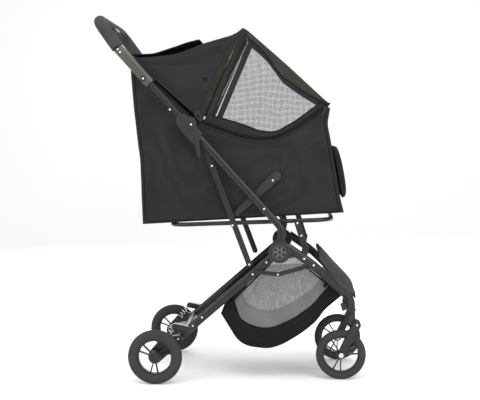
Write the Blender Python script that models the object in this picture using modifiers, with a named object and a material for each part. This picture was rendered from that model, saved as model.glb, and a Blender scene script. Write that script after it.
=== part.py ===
"""Pet stroller: folding oval-tube A-frame, fabric cabin with canopy, basket, casters and sprung wheels.

Metres. +X is the front, +Z is up, the floor is Z = 0 and the stroller is symmetric about Y = 0.
"""
import math

import bmesh
import bpy
from mathutils import Matrix, Vector

# ---- Driving dimensions: side view (X, Z) ----
HUB = (0.138, 0.365)
ELBOW = (0.147, 0.426)
SLOPE = math.radians(-47.6)
REAR_LEG_END = (-0.150, 0.1138)
FRONT_LEG = ((0.160, 0.378, 0.192), (0.231, 0.329, 0.190), (0.303, 0.259, 0.160),
             (0.336, 0.229, 0.129), (0.336, 0.186, 0.129))
STRUT_FOOT = (0.054, 0.328)
STRUT_TOP = (-0.083, 0.690)
SEAT_PIVOT = (0.008, 0.436)
SEAT_FRONT_PIVOT = (0.186, 0.443)
FRONT_LINK_FOOT = (0.208, 0.374)
KNEE_REAR = (0.085, 0.306)
KNEE = (0.133, 0.301)
KNEE_FRONT = (0.218, 0.325)
SWING_PIVOT = (-0.143, 0.121)
SPRING_FOOT = (-0.184, 0.116)
SPRING_HEAD = (-0.152, 0.155)
FORK_PIVOT = (0.353, 0.156)
REAR_WHEEL = (-0.204, 0.075)
FRONT_WHEEL = (0.309, 0.070)
STEER_X = 0.336
GRIP_BAR = (-0.3628, 1.0000)
REAR_AXLE = (-0.134, 0.128)
CROSSBAR = (0.272, 0.289)
PEDAL = (-0.1690, 0.1205)
BOW_FOOT, BOW_TOP = (-0.0805, 0.7435), (0.0335, 0.9740)

# ---- Driving dimensions: distances from the elbow up the push tube's line ----
TUBE_TOP = 0.400
BRACKET_SPAN = (0.341, 0.417)
UPPER_SPAN = (0.330, 0.5395)
ARM_SPAN = (0.540, 0.671)
BORE_DEPTH = 0.165

# ---- Layers across the width, as distances from the middle ----
CABIN_HALF = 0.165
WALL = 0.004
SEAT_RAIL_Y = 0.166
REAR_LEG_Y = 0.168
LINK_IN, LINK_OUT = 0.1765, 0.1820
TUBE_Y = 0.192
HUB_SPAN = (0.1826, 0.2070)
BRACKET_Y = (0.1823, 0.2025)
BASKET_HALF = 0.150
CASTER_Y = 0.129
REAR_WHEEL_Y = 0.216
GRIP_BAR_Y = 0.184
BOW_Y, HOOP_Y = 0.1495, 0.1570
GAP = 0.0003

# ---- Sections ----
TUBE_R = 0.0105
TUBE_FLAT = 0.007 / 0.0105
LEG_R = 0.0115
LEG_FLAT = 0.007 / 0.0115
FRONT_LEG_R = 0.0120
FRONT_LEG_FLAT = 0.007 / 0.0120
HUB_R = 0.030
CROSS_R = 0.009
GRIP_R = 0.0165
RAIL_R = 0.006
HOOP_R = 0.003

COLLECTION = "pet_stroller"
SIDES = (("right", -1), ("left", 1))

COLOURS = {
    "frame": ((0.045, 0.045, 0.038), 0.35, 0.6),
    "link": ((0.038, 0.038, 0.034), 0.40, 0.5),
    "satin": ((0.21, 0.20, 0.165), 0.35, 0.7),
    "plastic": ((0.028, 0.028, 0.028), 0.50, 0.0),
    "grip": ((0.055, 0.055, 0.050), 0.80, 0.0),
    "tyre": ((0.045, 0.045, 0.038), 0.75, 0.0),
    "rim": ((0.020, 0.020, 0.020), 0.40, 0.0),
    "steel": ((0.55, 0.55, 0.55), 0.30, 1.0),
    "fabric": ((0.042, 0.042, 0.044), 0.90, 0.0),
    "mesh": ((0.35, 0.35, 0.36), 0.90, 0.0),
    "panel": ((0.085, 0.085, 0.090), 0.90, 0.0),
}


# ---- Scene and materials ----

def clear_scene():
    for obj in list(bpy.data.objects):
        bpy.data.objects.remove(obj, do_unlink=True)


def make_collection(name, hidden=False):
    found = bpy.data.collections.get(name) or bpy.data.collections.new(name)
    if name not in bpy.context.scene.collection.children:
        bpy.context.scene.collection.children.link(found)
    found.hide_render = hidden
    return found


def make_material(node, finish):
    colour, roughness, metallic = COLOURS[finish]
    material = bpy.data.materials.new(node + "_" + finish)
    material.use_nodes = True
    shader = material.node_tree.nodes["Principled BSDF"]
    shader.inputs["Base Color"].default_value = (*colour, 1.0)
    shader.inputs["Roughness"].default_value = roughness
    shader.inputs["Metallic"].default_value = metallic
    return material


def part(name, mesh, finish):
    """Puts a finished mesh in the part's collection as the sub-part called name."""
    clean = bmesh.new()
    clean.from_mesh(mesh)
    bmesh.ops.remove_doubles(clean, verts=clean.verts, dist=1e-6)
    bmesh.ops.recalc_face_normals(clean, faces=clean.faces)
    clean.to_mesh(mesh)
    clean.free()
    obj = bpy.data.objects.new(name, mesh)
    mesh.materials.clear()
    mesh.materials.append(make_material(name, finish))
    make_collection(COLLECTION).objects.link(obj)
    return obj


# ---- Shapes, each returned as a closed mesh in world coordinates ----

def evaluated_mesh(obj):
    """The object as its modifiers and curve settings leave it, welded, with the object removed."""
    make_collection(COLLECTION).objects.link(obj)
    bpy.context.view_layer.update()
    graph = bpy.context.evaluated_depsgraph_get()
    mesh = bpy.data.meshes.new_from_object(obj.evaluated_get(graph))
    mesh.transform(obj.matrix_world)
    bpy.data.objects.remove(obj, do_unlink=True)
    weld = bmesh.new()
    weld.from_mesh(mesh)
    bmesh.ops.remove_doubles(weld, verts=weld.verts, dist=1e-5)
    bmesh.ops.recalc_face_normals(weld, faces=weld.faces)
    weld.to_mesh(mesh)
    weld.free()
    return mesh


def rounded(points, bend, steps=5, cyclic=False):
    """The path through the points, with each corner replaced by a smooth bend of the given length."""
    points = [Vector(p) for p in points]
    path = []
    count = len(points)
    for i, corner in enumerate(points):
        if not cyclic and i in (0, count - 1):
            path.append(corner)
            continue
        before = points[i - 1] - corner
        after = points[(i + 1) % count] - corner
        reach = min(bend, before.length * 0.49, after.length * 0.49)
        start = corner + before.normalized() * reach
        end = corner + after.normalized() * reach
        for k in range(steps + 1):
            t = k / steps
            path.append(start * (1 - t) ** 2 + corner * 2 * t * (1 - t) + end * t * t)
    return path


def tube(points, radius, flat=1.0, sides=2, cyclic=False):
    """A capped tube along the points, flattened across Y about its first point."""
    middle = Vector((0.0, points[0][1], 0.0))
    curve = bpy.data.curves.new("path", "CURVE")
    curve.dimensions = "3D"
    curve.bevel_depth = radius
    curve.bevel_resolution = sides
    curve.use_fill_caps = True
    spline = curve.splines.new("POLY")
    spline.points.add(len(points) - 1)
    spline.use_cyclic_u = cyclic
    for point, spot in zip(spline.points, points):
        offset = Vector(spot) - middle
        point.co = (offset.x, offset.y / flat, offset.z, 1.0)
    obj = bpy.data.objects.new("path", curve)
    obj.scale.y = flat
    obj.location = middle
    return evaluated_mesh(obj)


def plate(outlines, low, high, round_edge=0.0):
    """A flat outline in the side view, with any holes, made solid between two widths."""
    curve = bpy.data.curves.new("outline", "CURVE")
    curve.dimensions = "2D"
    curve.fill_mode = "BOTH"
    curve.extrude = (high - low) / 2 - round_edge
    curve.bevel_depth = round_edge
    curve.offset = -round_edge
    curve.bevel_resolution = 0
    for outline in outlines:
        spline = curve.splines.new("POLY")
        spline.points.add(len(outline) - 1)
        spline.use_cyclic_u = True
        for point, (x, z) in zip(spline.points, outline):
            point.co = (x, z, 0.0, 1.0)
    obj = bpy.data.objects.new("outline", curve)
    obj.rotation_euler = (math.pi / 2, 0.0, 0.0)
    obj.location = (0.0, (low + high) / 2, 0.0)
    return evaluated_mesh(obj)


def arc(centre, radius, start, end, steps):
    """Points on an arc in the side view, angles in degrees, counted from +X towards +Z."""
    return [(centre[0] + radius * math.cos(math.radians(start + (end - start) * k / steps)),
             centre[1] + radius * math.sin(math.radians(start + (end - start) * k / steps)))
            for k in range(steps + 1)]


def link_outline(a, b, width_a, width_b=None, steps=6):
    """A flat bar from a to b with round ends."""
    heading = math.degrees(math.atan2(b[1] - a[1], b[0] - a[0]))
    return (arc(a, width_a / 2, heading + 90, heading + 270, steps)
            + arc(b, (width_b or width_a) / 2, heading - 90, heading + 90, steps))


def block(centre, size, turn=0.0):
    """A box, turned about Y by an angle in the side view."""
    shape = bmesh.new()
    bmesh.ops.create_cube(shape, size=1.0)
    matrix = Matrix.Translation(centre) @ Matrix.Rotation(-turn, 4, "Y") @ Matrix.Diagonal((*size, 1.0))
    bmesh.ops.transform(shape, matrix=matrix, verts=shape.verts)
    return to_mesh(shape)


def drum(centre, radius, low, high, axis="Y", segments=20):
    """A cylinder between two places on its axis. The centre is (X, Z) for Y, or (X, Y) for Z."""
    shape = bmesh.new()
    bmesh.ops.create_cone(shape, cap_ends=True, segments=segments, radius1=radius, radius2=radius,
                          depth=abs(high - low))
    middle = (low + high) / 2
    if axis == "Y":
        matrix = Matrix.Translation((centre[0], middle, centre[1])) @ Matrix.Rotation(math.pi / 2, 4, "X")
    else:
        matrix = Matrix.Translation((centre[0], centre[1], middle))
    bmesh.ops.transform(shape, matrix=matrix, verts=shape.verts)
    return to_mesh(shape)


def to_mesh(shape):
    mesh = bpy.data.meshes.new("shape")
    shape.to_mesh(mesh)
    shape.free()
    return mesh


def turned(centre, y, profile, steps):
    """A profile of (radius, offset across Y) turned about the width axis."""
    mesh = bpy.data.meshes.new("profile")
    points = [(r, 0.0, z) for r, z in profile]
    edges = [(i, (i + 1) % len(points)) for i in range(len(points))]
    mesh.from_pydata(points, edges, [])
    obj = bpy.data.objects.new("profile", mesh)
    screw = obj.modifiers.new("Screw", "SCREW")
    screw.axis = "Z"
    screw.steps = screw.render_steps = steps
    screw.use_merge_vertices = True
    screw.merge_threshold = 0.00005
    obj.rotation_euler = (math.pi / 2, 0.0, 0.0)
    obj.location = (centre[0], y, centre[1])
    return evaluated_mesh(obj)


def combine(base, others, operation):
    """Cuts the other meshes from the base, or joins them to it."""
    cutters = make_collection("cutters", hidden=True)
    obj = bpy.data.objects.new("base", base)
    tools = []
    for mesh in others:
        tool = bpy.data.objects.new("cutter", mesh)
        tool.hide_render = True
        tool.display_type = "WIRE"
        cutters.objects.link(tool)
        tools.append(tool)
        modifier = obj.modifiers.new("Boolean", "BOOLEAN")
        modifier.operation = operation
        modifier.object = tool
    mesh = evaluated_mesh(obj)
    for tool in tools:
        bpy.data.objects.remove(tool, do_unlink=True)
    return mesh


def join(base, *others):
    return combine(base, others, "UNION")


def cut(base, *others):
    return combine(base, others, "DIFFERENCE")


# ---- Places ----

def up_tube(distance, side=0.0):
    """The point this far up the push tube's line from its elbow."""
    return Vector((ELBOW[0] - math.cos(SLOPE) * distance, side, ELBOW[1] - math.sin(SLOPE) * distance))


def place(point, y):
    return Vector((point[0], y, point[1]))


# ---- Handle ----

def make_handle():
    start = ARM_SPAN[1] + 0.0022
    corners = [up_tube(start, -TUBE_Y), place(GRIP_BAR, -GRIP_BAR_Y), place(GRIP_BAR, GRIP_BAR_Y), up_tube(start, TUBE_Y)]
    grip = tube(rounded(corners, 0.055), GRIP_R, sides=3)
    travel = Vector((math.cos(SLOPE), 0.0, math.sin(SLOPE)))
    inwards = place(GRIP_BAR, 0.0) + travel * GRIP_R
    pocket = block(inwards, (0.018, 0.054, 0.024), SLOPE)
    part("handle_grip", cut(grip, pocket), "grip")
    button = block(inwards + travel * 0.0025, (0.012, 0.052, 0.022), SLOPE)
    part("fold_button", button, "satin")
    for name, side in SIDES:
        y = side * TUBE_Y
        arm = tube([up_tube(ARM_SPAN[0], y), up_tube(ARM_SPAN[1], y)], 0.014, 0.75, sides=3)
        face = block(up_tube(0.605, side * 0.2015), (0.090, 0.003, 0.016), SLOPE)
        part("handle_arm_" + name, join(arm, face), "satin")
        upper = tube([up_tube(UPPER_SPAN[0], y), up_tube(UPPER_SPAN[1], y)], 0.0070, 0.6, sides=3)
        part("upper_tube_" + name, upper, "frame")


def make_brackets():
    middle = sum(BRACKET_SPAN) / 2
    length = BRACKET_SPAN[1] - BRACKET_SPAN[0]
    low, high = BRACKET_Y
    for name, side in SIDES:
        shell = block(up_tube(middle, side * (low + high) / 2), (length, high - low, 0.031), SLOPE)
        way = tube([up_tube(BRACKET_SPAN[0] - 0.02, side * TUBE_Y), up_tube(BRACKET_SPAN[1] + 0.02, side * TUBE_Y)],
                   0.0113, 0.0076 / 0.0113, sides=3)
        part("slide_bracket_" + name, cut(shell, way), "plastic")
        y = sorted((side * 0.2030, side * 0.2085))
        lever = plate([link_outline((-0.088, 0.668), (-0.082, 0.628), 0.013, 0.010)], *y)
        part("latch_lever_" + name, lever, "plastic")


# ---- Frame ----

def make_push_tubes():
    for name, side in SIDES:
        y = side * TUBE_Y
        path = rounded([up_tube(TUBE_TOP, y), place(ELBOW, y), place((HUB[0], HUB[1] + 0.020), y)], 0.040)
        outer = tube(path, TUBE_R, TUBE_FLAT, sides=3)
        bore = tube([up_tube(TUBE_TOP - BORE_DEPTH, y), up_tube(TUBE_TOP + 0.01, y)], 0.0082, 0.6, sides=3)
        part("push_tube_" + name, cut(outer, bore, hub_room(side)), "frame")


def hub_room(side):
    """The space that a tube's end leaves for the hub."""
    return drum(HUB, HUB_R + GAP, *sorted((side * 0.178, side * 0.212)), segments=32)


def make_hubs():
    low, high = HUB_SPAN
    for name, side in SIDES:
        half = (high - low) / 2
        profile = [(0.0, half - 0.0015), (0.0215, half - 0.0015), (0.0220, half), (0.0285, half),
                   (HUB_R, half - 0.002), (HUB_R, -half), (0.0, -half)]
        profile = [(r, z * -side) for r, z in profile]
        part("hub_" + name, turned(HUB, side * (low + high) / 2, profile, 32), "plastic")


def make_rear_legs():
    along = Vector((REAR_LEG_END[0] - HUB[0], 0.0, REAR_LEG_END[1] - HUB[1])).normalized()
    for name, side in SIDES:
        y = side * REAR_LEG_Y
        top = place(HUB, y) - along * 0.010
        leg = tube([top, place(REAR_LEG_END, y)], LEG_R, LEG_FLAT, sides=3)
        boss = drum(HUB, 0.009, *sorted((side * 0.170, side * (HUB_SPAN[0] - GAP))))
        seat = plate([link_outline((-0.112, 0.147), SPRING_HEAD, 0.016)],
                     *sorted((side * 0.1710, side * 0.1950)))
        part("rear_leg_" + name, join(leg, boss, seat), "frame")
    beam = drum(REAR_AXLE, CROSS_R, -0.1605, 0.1605)
    part("rear_axle", beam, "frame")
    pedal = block((PEDAL[0], 0.0, PEDAL[1]), (0.050, 0.075, 0.008), math.radians(12))
    part("brake_pedal", pedal, "plastic")


def make_front_legs():
    for name, side in SIDES:
        corners = [Vector((x, side * y, z)) for x, z, y in FRONT_LEG]
        leg = tube(rounded(corners, 0.035, steps=4), FRONT_LEG_R, FRONT_LEG_FLAT, sides=3)
        ear = plate([link_outline(FRONT_LINK_FOOT, (0.203, 0.350), 0.018)],
                    *sorted((side * (LINK_OUT + 0.0008), side * 0.190)))
        part("front_leg_" + name, cut(join(leg, ear), hub_room(side)), "frame")
    part("front_crossbar", drum(CROSSBAR, CROSS_R, -0.1620, 0.1620), "frame")


# ---- Links of the fold ----

def make_links():
    for name, side in SIDES:
        layer = sorted((side * LINK_IN, side * LINK_OUT))
        strut = plate([link_outline(STRUT_TOP, STRUT_FOOT, 0.016)], *layer)
        boss = drum(SEAT_PIVOT, 0.005, *sorted((side * 0.1723, side * 0.180)))
        part("strut_" + name, join(strut, boss), "link")
        link = plate([link_outline(SEAT_FRONT_PIVOT, FRONT_LINK_FOOT, 0.016)], *layer)
        boss = drum(SEAT_FRONT_PIVOT, 0.005, *sorted((side * 0.1723, side * 0.180)))
        part("front_link_" + name, join(link, boss), "link")
        inner = sorted((side * LINK_IN, side * 0.1790))
        outer = sorted((side * 0.1794, side * LINK_OUT))
        part("knee_rear_" + name, plate([link_outline(KNEE_REAR, KNEE, 0.012)], *inner), "link")
        part("knee_front_" + name, plate([link_outline(KNEE, KNEE_FRONT, 0.012)], *outer), "link")


def make_seat_frame():
    rear, front = (-0.165, 0.4350), (0.281, 0.4525)
    corners = [place(rear, -SEAT_RAIL_Y), place(front, -SEAT_RAIL_Y),
               place(front, SEAT_RAIL_Y), place(rear, SEAT_RAIL_Y)]
    part("seat_frame", tube(rounded(corners, 0.055, steps=4, cyclic=True), RAIL_R, sides=2, cyclic=True), "frame")
    for name, side in SIDES:
        outline = link_outline((0.018, 0.468), (0.128, 0.572), 0.017, 0.027)
        layer = sorted((side * (CABIN_HALF + 0.0006), side * 0.1722))
        part("side_stay_" + name, plate([outline], *layer, round_edge=0.001), "plastic")


# ---- Wheels ----

def rim_outlines(centre, radius, hub_radius, spoke, phase):
    """A wheel disc pierced between three pairs of spokes."""
    outlines = [arc(centre, radius, 0, 360, 40)[:-1]]
    ring = radius - 0.0045
    for pair in range(3):
        middle = phase + pair * 120
        for start, end in ((middle - 13, middle + 13), (middle + 13, middle + 107)):
            outer_trim = math.degrees(spoke / ring)
            inner_trim = math.degrees(spoke / hub_radius) * 0.8
            steps = max(2, int((end - start) / 16))
            outlines.append(arc(centre, ring, start + outer_trim, end - outer_trim, steps)
                            + arc(centre, hub_radius, end - inner_trim, start + inner_trim, steps))
    return outlines


def tyre_profile(radius, inner, width):
    """A closed tyre section with rounded shoulders, from its tread round to its bore."""
    half = width / 2
    shoulder = (radius - inner) * 0.45
    return [(inner, half * 0.62), (radius - shoulder, half), (radius - shoulder * 0.35, half * 0.80),
            (radius, half * 0.35), (radius, -half * 0.35), (radius - shoulder * 0.35, -half * 0.80),
            (radius - shoulder, -half), (inner, -half * 0.62)]


def make_wheel(kind, name, centre, y, radius, inner, width, hub_radius):
    rim = plate(rim_outlines(centre, inner - GAP, hub_radius, 0.0013, -93), y - width * 0.28, y + width * 0.28)
    cap = drum(centre, hub_radius * 0.82, y - width * 0.46, y + width * 0.46)
    part(kind + "_rim_" + name, join(rim, cap), "rim")
    part(kind + "_tyre_" + name, turned(centre, y, tyre_profile(radius, inner, width), 40), "tyre")


def coil(start, end, radius, wire, turns):
    """A compression spring between two points."""
    axis = (end - start).normalized()
    side = axis.cross(Vector((0, 1, 0))).normalized()
    other = axis.cross(side)
    steps = turns * 8
    points = []
    for k in range(steps + 1):
        angle = 2 * math.pi * k / 8
        points.append(start + (end - start) * (k / steps)
                      + side * radius * math.cos(angle) + other * radius * math.sin(angle))
    return tube(points, wire, sides=1)


def make_rear_wheels():
    for name, side in SIDES:
        low, high = sorted((side * 0.1765, side * 0.1985))
        outline = (arc(REAR_WHEEL, 0.021, 130, 300, 7) + arc(SWING_PIVOT, 0.013, -70, 60, 5)
                   + [(-0.160, 0.1285), (-0.178, 0.1108), (-0.190, 0.1212)])
        part("swing_arm_" + name, plate([outline], low, high), "plastic")
        foot = place(SPRING_FOOT, side * 0.1870)
        head = place(SPRING_HEAD, side * 0.1870)
        axis = (head - foot).normalized()
        spring = coil(foot + axis * 0.0018, head - axis * 0.0100, 0.0062, 0.0013, 4)
        part("spring_" + name, spring, "steel")
        make_wheel("rear", name, REAR_WHEEL, side * REAR_WHEEL_Y, 0.075, 0.048, 0.028, 0.015)


def make_front_wheels():
    for name, side in SIDES:
        y = side * CASTER_Y
        barrel = drum((STEER_X, y), 0.013, 0.158, FRONT_LEG[-1][1] - GAP, axis="Z")
        lug = plate([link_outline((0.338, 0.168), FORK_PIVOT, 0.022, 0.014)], y - 0.008, y + 0.008)
        part("caster_" + name, join(barrel, lug), "plastic")
        arms = [plate([link_outline(FORK_PIVOT, FRONT_WHEEL, 0.022, 0.016)], *sorted((y + s * 0.0145, y + s * 0.0190)))
                for s in (-1, 1)]
        bridge = drum((0.3450, 0.1405), 0.0065, y - 0.0165, y + 0.0165)
        part("fork_" + name, join(bridge, *arms), "plastic")
        make_wheel("front", name, FRONT_WHEEL, y, 0.070, 0.050, 0.024, 0.013)
        lock = block((STEER_X - 0.021, y, 0.205), (0.012, 0.014, 0.020), 0.3)
        part("swivel_lock_" + name, lock, "plastic")


# ---- Soft parts ----

REAR_EDGE = [(-0.246, 0.438), (-0.252, 0.616), (-0.269, 0.761), (-0.277, 0.861), (-0.277, 0.897)]
ZIP_LINE = [(-0.026, 0.704), (0.030, 0.684), (0.075, 0.677), (0.123, 0.679), (0.187, 0.711), (0.262, 0.767)]
FRONT_EDGE = [(0.275, 0.758), (0.268, 0.717), (0.279, 0.657), (0.304, 0.509), (0.314, 0.473)]
ROOF = [(-0.277, 0.9000), (-0.221, 0.9010), (-0.154, 0.908), (-0.121, 0.919), (-0.071, 0.940), (0.014, 0.964),
        (0.034, 0.985)]


def shift(points, x, z):
    return [(px + x, pz + z) for px, pz in points]


def make_cabin():
    pivot_notch = [(-0.092, 0.722), (-0.074, 0.722)]
    outline = REAR_EDGE + pivot_notch + shift(ZIP_LINE, 0.0, -0.0005) + FRONT_EDGE
    solid = plate([outline], -CABIN_HALF, CABIN_HALF)
    inner = (shift(REAR_EDGE[:-1], WALL, 0.0) + [(-0.273, 1.05), (0.262, 1.05)]
             + [(0.262, 0.767)] + shift(FRONT_EDGE[1:], -WALL - 0.001, 0.0))
    inner[0] = (inner[0][0], inner[0][1] + 0.007)
    inner[-1] = (inner[-1][0] - 0.001, inner[-1][1] + 0.007)
    room = plate([inner], -CABIN_HALF + WALL, CABIN_HALF - WALL)
    part("cabin_tub", cut(solid, room), "fabric")
    tilt = math.atan2(0.035, 0.560)
    part("seat_pad", block((0.031, 0.0, 0.4825), (0.520, 0.310, 0.024), tilt), "fabric")
    pocket = [(0.2805, 0.656), (0.300, 0.652), (0.319, 0.615), (0.330, 0.560), (0.3285, 0.520), (0.3050, 0.508)]
    part("front_pocket", plate([pocket], -0.130, 0.130, round_edge=0.002), "fabric")


def make_canopy():
    low, high = -CABIN_HALF, CABIN_HALF
    edge_z = 0.7225
    rear = ROOF + [(-0.0735, edge_z), (-0.0915, edge_z)]
    hollow = shift([(-0.283, 0.905)] + ROOF[1:], 0.0, -WALL) + [(0.05, 0.960), (0.0, edge_z - 0.02), (-0.45, edge_z - 0.02)]
    part("canopy_rear", cut(plate([rear], low, high), plate([hollow], low + WALL, high - WALL)), "fabric")
    front = ([(-0.0730, edge_z)] + shift([(0.034, 0.985)], 0.0006, 0.0) + [(0.050, 0.975), (0.256, 0.785), (0.272, 0.770)]
             + shift(ZIP_LINE[::-1], 0.0, 0.0005))
    hollow = [(-0.15, 0.66), (0.000, 0.980), (0.037, 0.980), (0.046, 0.9725), (0.250, 0.784), (0.261, 0.775),
              (0.255, 0.66)]
    part("canopy_front", cut(plate([front], low, high), plate([hollow], low + WALL, high - WALL)), "mesh")
    bow = [place(BOW_FOOT, -BOW_Y), place(BOW_TOP, -BOW_Y), place(BOW_TOP, BOW_Y), place(BOW_FOOT, BOW_Y)]
    part("bow", tube(rounded(bow, 0.035), HOOP_R), "steel")
    line = [(-0.0768, 0.7315)] + ZIP_LINE[:5] + [(0.2550, 0.7640)]
    near = [place(p, -HOOP_Y) for p in line]
    far = [place(p, HOOP_Y) for p in reversed(line)]
    part("hoop", tube(rounded(near + far, 0.022, steps=3), HOOP_R), "steel")
    flap = ([(-0.272, 0.9010), (-0.216, 0.9018), (-0.156, 0.9100), (-0.125, 0.9280), (-0.086, 0.9420)]
            + [(-0.088, 0.9460), (-0.120, 0.9430), (-0.165, 0.9330), (-0.212, 0.9170), (-0.272, 0.9110)])
    part("rear_flap", plate([flap], low + 0.006, high - 0.006), "fabric")


def make_basket():
    side = [(-0.026, 0.184), (-0.001, 0.144), (0.020, 0.110), (0.047, 0.094), (0.105, 0.087), (0.143, 0.099),
            (0.196, 0.131), (0.239, 0.166), (0.260, 0.198), (0.306, 0.237), (0.200, 0.325), (0.110, 0.322)]
    solid = plate([side], -BASKET_HALF, BASKET_HALF)
    room = [(-0.021, 0.184), (0.003, 0.146), (0.023, 0.114), (0.048, 0.099), (0.105, 0.092), (0.142, 0.104),
            (0.194, 0.136), (0.235, 0.169), (0.256, 0.202), (0.300, 0.238), (0.200, 0.400), (0.000, 0.400), (-0.090, 0.250)]
    room = plate([room], -BASKET_HALF + WALL, BASKET_HALF - WALL)
    part("basket", cut(solid, room), "mesh")
    panel = [(0.243, 0.368), (0.252, 0.377), (0.300, 0.330), (0.335, 0.292), (0.349, 0.262), (0.349, 0.236),
             (0.343, 0.246), (0.320, 0.272), (0.282, 0.312)]
    part("foot_panel", plate([panel], -0.130, 0.130, round_edge=0.002), "panel")


def main():
    clear_scene()
    make_handle()
    make_brackets()
    make_push_tubes()
    make_hubs()
    make_rear_legs()
    make_front_legs()
    make_links()
    make_seat_frame()
    make_rear_wheels()
    make_front_wheels()
    make_cabin()
    make_canopy()
    make_basket()


main()
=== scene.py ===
"""Looks of the folding pet stroller: cloth, tubes, wheels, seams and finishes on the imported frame."""
import logging
import math
from dataclasses import dataclass
from enum import Enum

import bmesh
import bpy
from mathutils import Matrix, Vector, noise


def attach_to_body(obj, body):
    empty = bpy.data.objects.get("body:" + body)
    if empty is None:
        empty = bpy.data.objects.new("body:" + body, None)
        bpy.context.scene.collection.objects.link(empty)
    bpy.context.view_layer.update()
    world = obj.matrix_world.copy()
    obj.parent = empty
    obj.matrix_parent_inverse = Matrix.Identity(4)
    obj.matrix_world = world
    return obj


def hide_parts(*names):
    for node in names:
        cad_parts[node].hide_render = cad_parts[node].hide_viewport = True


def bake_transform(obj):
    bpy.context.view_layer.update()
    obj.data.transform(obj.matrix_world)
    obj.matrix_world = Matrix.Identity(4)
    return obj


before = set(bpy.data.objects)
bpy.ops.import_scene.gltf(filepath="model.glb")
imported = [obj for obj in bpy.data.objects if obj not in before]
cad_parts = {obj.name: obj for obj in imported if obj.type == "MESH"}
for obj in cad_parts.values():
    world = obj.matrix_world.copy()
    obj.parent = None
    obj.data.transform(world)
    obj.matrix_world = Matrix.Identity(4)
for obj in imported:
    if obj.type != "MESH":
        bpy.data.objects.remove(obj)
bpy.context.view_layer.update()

log = logging.getLogger("pet_stroller")
Point = tuple[float, float]
Colour = tuple[float, float, float]
MERGE = 0.000005


class Side(Enum):
    """The stroller's own right and left sides, as signs along Y."""

    RIGHT = -1
    LEFT = 1

    def node(self, stem: str) -> str:
        """The name of this side's node of that stem."""
        return f"{stem}_{self.name.lower()}"

    def span(self, inner: float, outer: float) -> list[float]:
        """Two distances from the middle, as this side's lower and upper Y."""
        return sorted((self.value * inner, self.value * outer))


class Held(Enum):
    """How a sheet of cloth is held."""

    STRETCHED = "stretched"
    LAID = "laid"
    HUNG = "hung"


class Fitting(Enum):
    """A small piece that is repeated: a rivet's domed head, or a peg for a stitch or a zip's tooth."""

    DOME = "GeometryNodeMeshUVSphere"
    PEG = "GeometryNodeMeshCylinder"


class Tree:
    """A node tree that is built one node at a time."""

    def __init__(self, tree: bpy.types.NodeTree) -> None:
        """Keeps the tree."""
        self.tree = tree

    def fill(self, node: bpy.types.Node, socket: str | int, value: object) -> None:
        """Gives one of a node's sockets a value, or links an output to it.

        Args:
            node: The node.
            socket: Its socket.
            value: The value, or another node's output.
        """
        if isinstance(value, bpy.types.NodeSocket):
            self.tree.links.new(value, node.inputs[socket])
        else:
            node.inputs[socket].default_value = value

    def add(self, kind: str, inputs: dict[str | int, object] | None = None,
            **options: object) -> bpy.types.Node:
        """Adds a node.

        Args:
            kind: The node's type.
            inputs: What each of its sockets is given.
            options: Its own options.

        Returns:
            The node.
        """
        node = self.tree.nodes.new(kind)
        for option, value in options.items():
            setattr(node, option, value)
        for socket, value in (inputs or {}).items():
            self.fill(node, socket, value)
        return node

    def maths(self, operation: str, first: object, second: object) -> bpy.types.NodeSocket:
        """The result of a sum on two outputs or values."""
        return self.add("ShaderNodeMath", {0: first, 1: second}, operation=operation).outputs["Value"]


# ---------------------------------------------------------------- finishes

@dataclass(frozen=True)
class Finish:
    """A finish: a base colour, a second colour that mottles it, gloss and the grain of its surface."""

    name: str
    colour: Colour
    mottle: Colour
    roughness: float
    metallic: float = 0.0
    grain: float = 900.0
    grain_depth: float = 0.00005
    specular: float = 0.35
    patches: float = 25.0
    relief: float = 0.8

    def begin(self) -> tuple[bpy.types.Material, Tree, bpy.types.Node, bpy.types.NodeSocket]:
        """Starts the material.

        Returns:
            The material, its tree, its shader and its Object coordinates.
        """
        material = bpy.data.materials.new(self.name)
        material.use_nodes = True
        tree = Tree(material.node_tree)
        shader = material.node_tree.nodes["Principled BSDF"]
        shader.inputs["Roughness"].default_value = self.roughness
        shader.inputs["Metallic"].default_value = self.metallic
        shader.inputs["Specular IOR Level"].default_value = self.specular
        return material, tree, shader, tree.add("ShaderNodeTexCoord").outputs["Object"]

    def mottled(self, tree: Tree, coords: bpy.types.NodeSocket) -> bpy.types.NodeSocket:
        """A slow change between the finish's two colours.

        Args:
            tree: The material's tree.
            coords: Its coordinates.

        Returns:
            The colour.
        """
        spread = tree.add("ShaderNodeTexNoise", {"Vector": coords, "Scale": self.patches, "Detail": 4.0})
        mix = tree.add("ShaderNodeMix", {0: spread.outputs["Fac"], 6: (*self.colour, 1.0),
                                         7: (*self.mottle, 1.0)},
                       data_type="RGBA")
        return mix.outputs[2]

    def bump(self, tree: Tree, shader: bpy.types.Node, height: bpy.types.NodeSocket, depth: float) -> None:
        """Sends a height to the shader's normal.

        Args:
            tree: The material's tree.
            shader: Its shader.
            height: The height.
            depth: How deep the relief is, in metres.
        """
        bump = tree.add("ShaderNodeBump", {"Height": height, "Distance": depth, "Strength": self.relief})
        tree.fill(shader, "Normal", bump.outputs["Normal"])

    def build(self) -> bpy.types.Material:
        """Makes a moulded or painted finish with a fine grain.

        Returns:
            The material.
        """
        material, tree, shader, coords = self.begin()
        tree.fill(shader, "Base Color", self.mottled(tree, coords))
        grain = tree.add("ShaderNodeTexNoise", {"Vector": coords, "Scale": self.grain}).outputs["Fac"]
        self.bump(tree, shader, grain, self.grain_depth)
        gloss = tree.add("ShaderNodeMapRange", {"Value": grain, "To Min": max(0.05, self.roughness - 0.10),
                                                "To Max": min(1.0, self.roughness + 0.12)})
        tree.fill(shader, "Roughness", gloss.outputs["Result"])
        return material


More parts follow.
